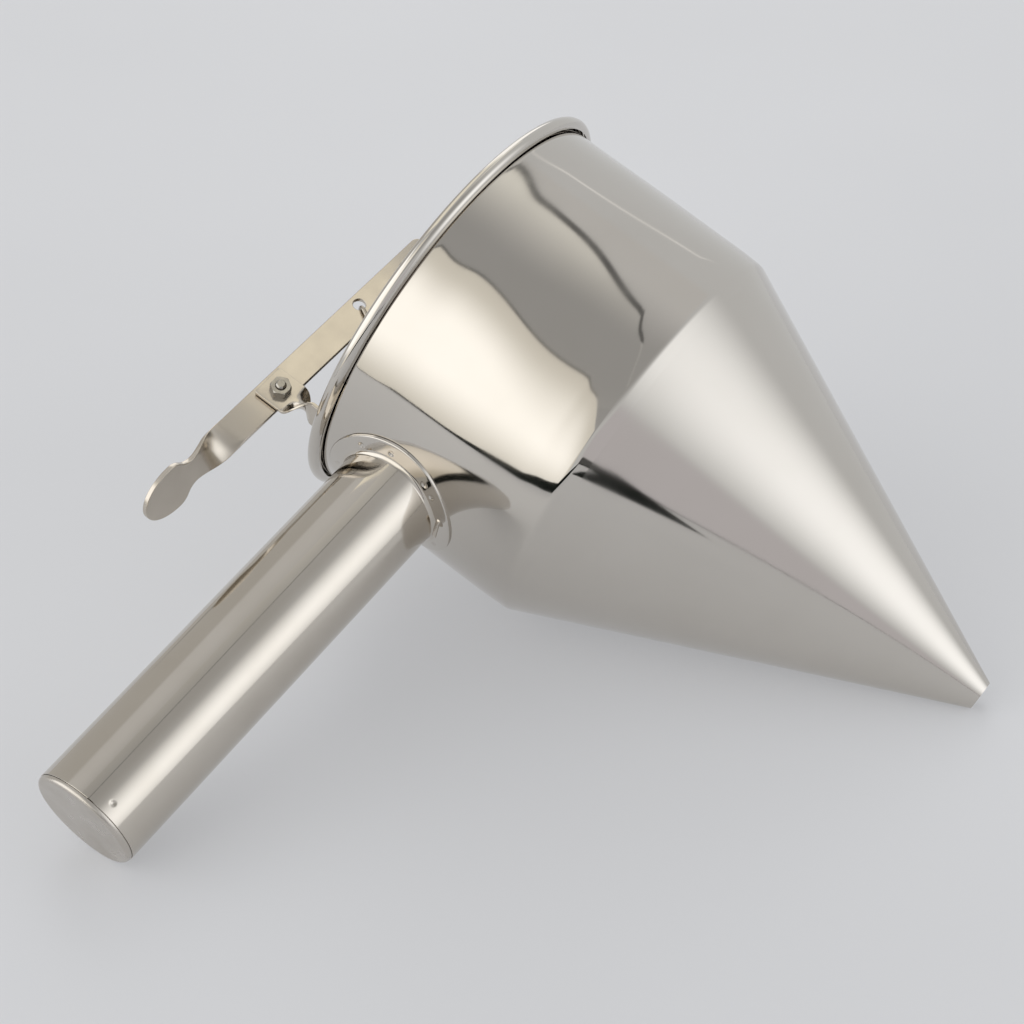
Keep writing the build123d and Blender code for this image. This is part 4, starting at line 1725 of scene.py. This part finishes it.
@dataclass(frozen=True)
class Studio:
    """A pale round table in a light tent, with soft lights through its sides, and the camera."""

    table_middle: tuple[float, float, float] = (-0.06, 0.09, 0.0)
    table_radius: float = 0.6
    table_colours: tuple[str, str] = ("#DCDDE0", "#D6D7DA")
    table_glow: float = 0.95
    table_fill: float = 0.42
    tent_colour: str = "#FBFDFF"
    tent_strength: float = 0.7
    backdrop: str = "#D3D4D7"
    # colours of the black felt that paints dark reflections, seen only in shiny faces
    dark_reflection_felt_colours: tuple[str, str] = ("#141816", "#262B28")
    # black felt seen only in shiny faces, painting the shaded gap's dark line into reflections
    gap_middle: float = 281.4
    gap_half: float = 60.0
    gap_thin: float = 0.003
    gap_reach: float = 0.5
    gap_taper: float = 27.6
    # a glowing card seen only in shiny faces, painting a highlight on the lever
    card_middle: tuple[float, float, float] = (-0.078, 0.038, 0.178)
    card_facing: tuple[float, float, float] = (0.1455, 0.058, 0.9885)
    card_size: tuple[float, float] = (0.044, 0.064)
    card_colours: tuple[str, str] = ("#FFFCF0", "#FFF8E6")
    card_glow: float = 1.12
    # a black flag seen only in shiny faces, painting a dark reflection on the cone
    flag_place: tuple[float, float, float] = (0.1485, -0.14, 0.0)
    flag_turn: float = 274.0
    flag_corners: tuple[tuple[float, float], ...] = ((-0.044, 0.033), (0.0296, 0.018), (0.0, 0.0594))
    camera_place: tuple[float, float, float] = (0.27618, -0.46442, 0.41189)
    camera_turn: tuple[float, float, float] = (57.4155, 1.2564, 31.1640)
    lens: float = 83.245
    sensor: float = 36.0

    def panels(self) -> tuple[Panel, ...]:
        """The tent's sides, roof and lights, in the order they are laid over each other."""
        roof = {"azimuth": 270, "elevation": 90, "roll": 14.5}
        return (
            # the shaded side behind the handle
            Panel(165, 0, (-30, 22), (-20, 62), 0.54, "#FFFDF9", blurs=(3, 3)),
            # the roof, darker towards the camera, with a slot of its own along the middle
            Panel(**roof, across=(-30, 33), upward=(-45, 40), strength=0.67, blurs=(3, 3)),
            Panel(**roof, across=(-2, 36), upward=(-50, 2), strength=0.43, blurs=(18, 18)),
            Panel(**roof, across=(0, 16.2), upward=(-50, 45), strength=1.0, colour="#FFFEF8"),
            Panel(**roof, across=(0, 16.2), upward=(-55, 7), strength=0.42, blurs=(0.3, 23)),
            # the left side and the softbox behind it
            Panel(262, 0, (-30, 22.5), (-14, 63), 0.88, "#FFFBF1", blurs=(0.4, 1)),
            Panel(262, 0, (-28, 13), (0, 47), 1.67, "#FCFBF8", blurs=(9, 14)),
            # the right light through the cloth
            Panel(10, 16, (-22, 22), (-17, 17), 1.6, "#FAFCFF", blurs=(20, 17)),
            # the front flap
            Panel(318, 0, (-16, 14), (-14, 16), 0.64, "#FDFAFF", blurs=(3, 5)),
            # lights that no mirror-like face shows
            Panel(217, 0, (-22, 24), (2, 48), 1.7, blurs=(4, 4)),
            Panel(125, 0, (-17, 17), (14, 58), 1.5, blurs=(3, 3)),
            # seams of the cloth
            Panel(**roof, across=(-0.35, 0.35), upward=(-46, -26), strength=0.12, blurs=(0.15, 1)),
            Panel(**roof, across=(15.8, 16.6), upward=(-12, 48), strength=0.12, blurs=(0.15, 1)),
            Panel(88.5, 0, (-0.3, 0.3), (24, 42), 0.98, blurs=(0.25, 4)),
            # the end of the gap at the table's front edge, which widens there
            Panel(309, -7, (-4, 4), (-6, 1.5), 0.1, roll=-30, blurs=(0.4, 0.4)),
            # a clip on the shaded side
            Panel(153, 10, (-2.4, 2.4), (-0.8, 0.8), 0.12, blurs=(1, 0.4)),
        )

    def world(self) -> None:
        """Make the tent, and a pale backdrop for the camera."""
        tent = bpy.data.worlds.new("light_tent")
        tree = fresh_tree(tent)
        direction = add_node(tree, "ShaderNodeTexCoord").outputs["Generated"]
        light = self.glow(tree, self.tent_colour, self.tent_strength)
        for panel in self.panels():
            glow = self.glow(tree, panel.colour, panel.strength)
            layers = {0: panel.mask(tree, direction), 1: light, 2: glow}
            light = add_node(tree, "ShaderNodeMixShader", layers).outputs[0]
        seen = add_node(tree, "ShaderNodeLightPath").outputs["Is Camera Ray"]
        layers = {0: seen, 1: light, 2: self.glow(tree, self.backdrop, 1.0)}
        shown = add_node(tree, "ShaderNodeMixShader", layers)
        add_node(tree, "ShaderNodeOutputWorld", {"Surface": shown.outputs[0]})
        bpy.context.scene.world = tent

    def glow(self, tree: NodeTree, colour: str, strength: float) -> NodeSocket:
        """Add an even light of one colour."""
        node = add_node(tree, "ShaderNodeBackground", {"Color": linear(colour), "Strength": strength})
        return node.outputs[0]

    def table(self) -> None:
        """Lay the table top, a matt board with a faint unevenness of shade."""
        bm = bmesh.new()
        middle = Matrix.Translation(self.table_middle)
        bmesh.ops.create_circle(bm, cap_ends=True, segments=192, radius=self.table_radius, matrix=middle)
        board = bpy.data.materials.new("matt_laminate_board")
        tree = fresh_tree(board)
        place = add_node(tree, "ShaderNodeTexCoord").outputs["Object"]
        grain = {"Vector": place, "Scale": 5.0, "Detail": 2.0}
        cloud = add_node(tree, "ShaderNodeTexNoise", grain).outputs["Fac"]
        shade = mottle(tree, cloud, self.table_colours)
        gloss = {"Base Color": shade, "Roughness": 0.42, "Specular IOR Level": 0.45}
        shader = add_node(tree, "ShaderNodeBsdfPrincipled", gloss).outputs["BSDF"]
        glow = add_node(tree, "ShaderNodeEmission", {"Color": shade, "Strength": self.table_glow}).outputs[0]
        path = add_node(tree, "ShaderNodeLightPath").outputs
        looked_at = combine(tree, "MAXIMUM", path["Is Camera Ray"], path["Is Glossy Ray"])
        share = combine(tree, "MULTIPLY", looked_at, self.table_fill)
        lit = add_node(tree, "ShaderNodeMixShader", {0: share, 1: shader, 2: glow})
        add_node(tree, "ShaderNodeOutputMaterial", {"Surface": lit.outputs[0]})
        self.set_up("table_top", bm, board)

    def felt(self) -> Material:
        """Black felt, whose short pile swallows the light. It hangs only where shiny faces see it, as
        painted dark reflections.
        """
        felt = bpy.data.materials.new("black_felt_for_dark_reflections")
        tree = fresh_tree(felt)
        weave = add_node(tree, "ShaderNodeTexNoise", {"Scale": 900.0, "Detail": 2.0}).outputs["Fac"]
        shader = add_node(tree, "ShaderNodeBsdfDiffuse", {"Color": mottle(tree, weave, self.dark_reflection_felt_colours)})
        add_node(tree, "ShaderNodeOutputMaterial", {"Surface": shader.outputs[0]})
        return felt

    def gap(self, felt: Material) -> None:
        """Stand black felt in the gap at the table's front edge, seen only in shiny faces: it stands in for
        the gap's shade and paints its dark line into the metal's reflections.
        """
        bm = bmesh.new()
        middle = Vector(self.table_middle)
        start = middle + towards(self.gap_middle - self.gap_half) * self.table_radius
        Outline(bm, start).line(start + UP * self.gap_thin)
        turn, upright = math.radians(2 * self.gap_half), bm.verts[:] + bm.edges[:]
        bmesh.ops.spin(bm, geom=upright, cent=middle, axis=UP, angle=turn, steps=80, use_merge=False)
        tallest = towards(self.gap_middle)
        for vert in bm.verts:
            if vert.co.z > self.gap_thin / 2:
                out = Vector((vert.co.x - middle.x, vert.co.y - middle.y, 0)).normalized()
                rise = self.gap_reach * (out.dot(tallest) - math.cos(math.radians(self.gap_taper)))
                vert.co.z += max(rise, 0.0)
        self.leave_to_shine(self.set_up("front_gap_dark_reflection", bm, felt))

    def flag(self, felt: Material) -> None:
        """Hang a small black flag in front of the cone, seen only in shiny faces, which paints a dark
        reflection on the cone.
        """
        bm = bmesh.new()
        facing = Matrix.Translation(self.flag_place) @ Matrix.Rotation(math.radians(self.flag_turn), 4, "Z")
        corners = [facing @ Vector((0, across, upward)) for across, upward in self.flag_corners]
        bmesh.ops.contextual_create(bm, geom=[bm.verts.new(corner) for corner in corners])
        self.leave_to_shine(self.set_up("cone_dark_reflection_flag", bm, felt))

    def card(self) -> None:
        """Hold a small glowing card over the lever, seen only in shiny faces, which paints a highlight on
        the lever's flat face.
        """
        bm = bmesh.new()
        facing = UP.rotation_difference(Vector(self.card_facing)).to_matrix().to_4x4()
        place = Matrix.Translation(self.card_middle) @ facing @ Matrix.Diagonal((*self.card_size, 1, 1))
        bmesh.ops.create_grid(bm, x_segments=1, y_segments=1, size=0.5, matrix=place)
        paper = bpy.data.materials.new("glowing_card_painted_highlight")
        tree = fresh_tree(paper)
        fibres = add_node(tree, "ShaderNodeTexNoise", {"Scale": 40.0, "Detail": 2.0}).outputs["Fac"]
        lamp = {"Color": mottle(tree, fibres, self.card_colours), "Strength": self.card_glow}
        glow = add_node(tree, "ShaderNodeEmission", lamp)
        add_node(tree, "ShaderNodeOutputMaterial", {"Surface": glow.outputs[0]})
        self.leave_to_shine(self.set_up("lever_painted_highlight_card", bm, paper))

    def leave_to_shine(self, piece: Object) -> None:
        """Let a piece show in shiny faces only."""
        piece.visible_camera = False
        piece.visible_diffuse = False
        piece.visible_shadow = False

    def set_up(self, name: str, bm: BMesh, material: Material) -> Object:
        """Turn a mesh in metres into a piece of the stage."""
        piece = placed(name, bm, material)
        return piece

    def camera(self) -> None:
        """Set the camera up."""
        data = bpy.data.cameras.new("camera")
        data.lens = self.lens
        data.sensor_width = self.sensor
        data.sensor_fit = "HORIZONTAL"
        data.clip_start = 0.01
        holder = bpy.data.objects.new("camera", data)
        holder.location = self.camera_place
        holder.rotation_euler = [math.radians(turn) for turn in self.camera_turn]
        bpy.context.scene.collection.objects.link(holder)
        bpy.context.scene.camera = holder

    def build(self) -> None:
        """Make the camera, the tent, the table and what stands round it."""
        self.camera()
        self.world()
        self.table()
        felt = self.felt()
        self.gap(felt)
        self.flag(felt)
        self.card()
        bpy.context.scene.view_settings.view_transform = "Standard"


def main() -> None:
    """Build the studio and every piece."""
    logging.basicConfig(level=logging.INFO, format="%(name)s %(message)s")
    Studio().build()
    funnel = Funnel()
    handle = Handle(funnel)
    lever = Lever(funnel)
    bracket = Bracket(lever)
    bench = Bench(Resting.from_frame(frame, lever.pivot))
    moving = (PivotFasteners(bracket), PlugRod(lever), ReturnSpring(bracket))
    for assembly in (funnel, handle, lever, bracket, *moving):
        assembly.build(bench)


if __name__ == "__main__":
    main()
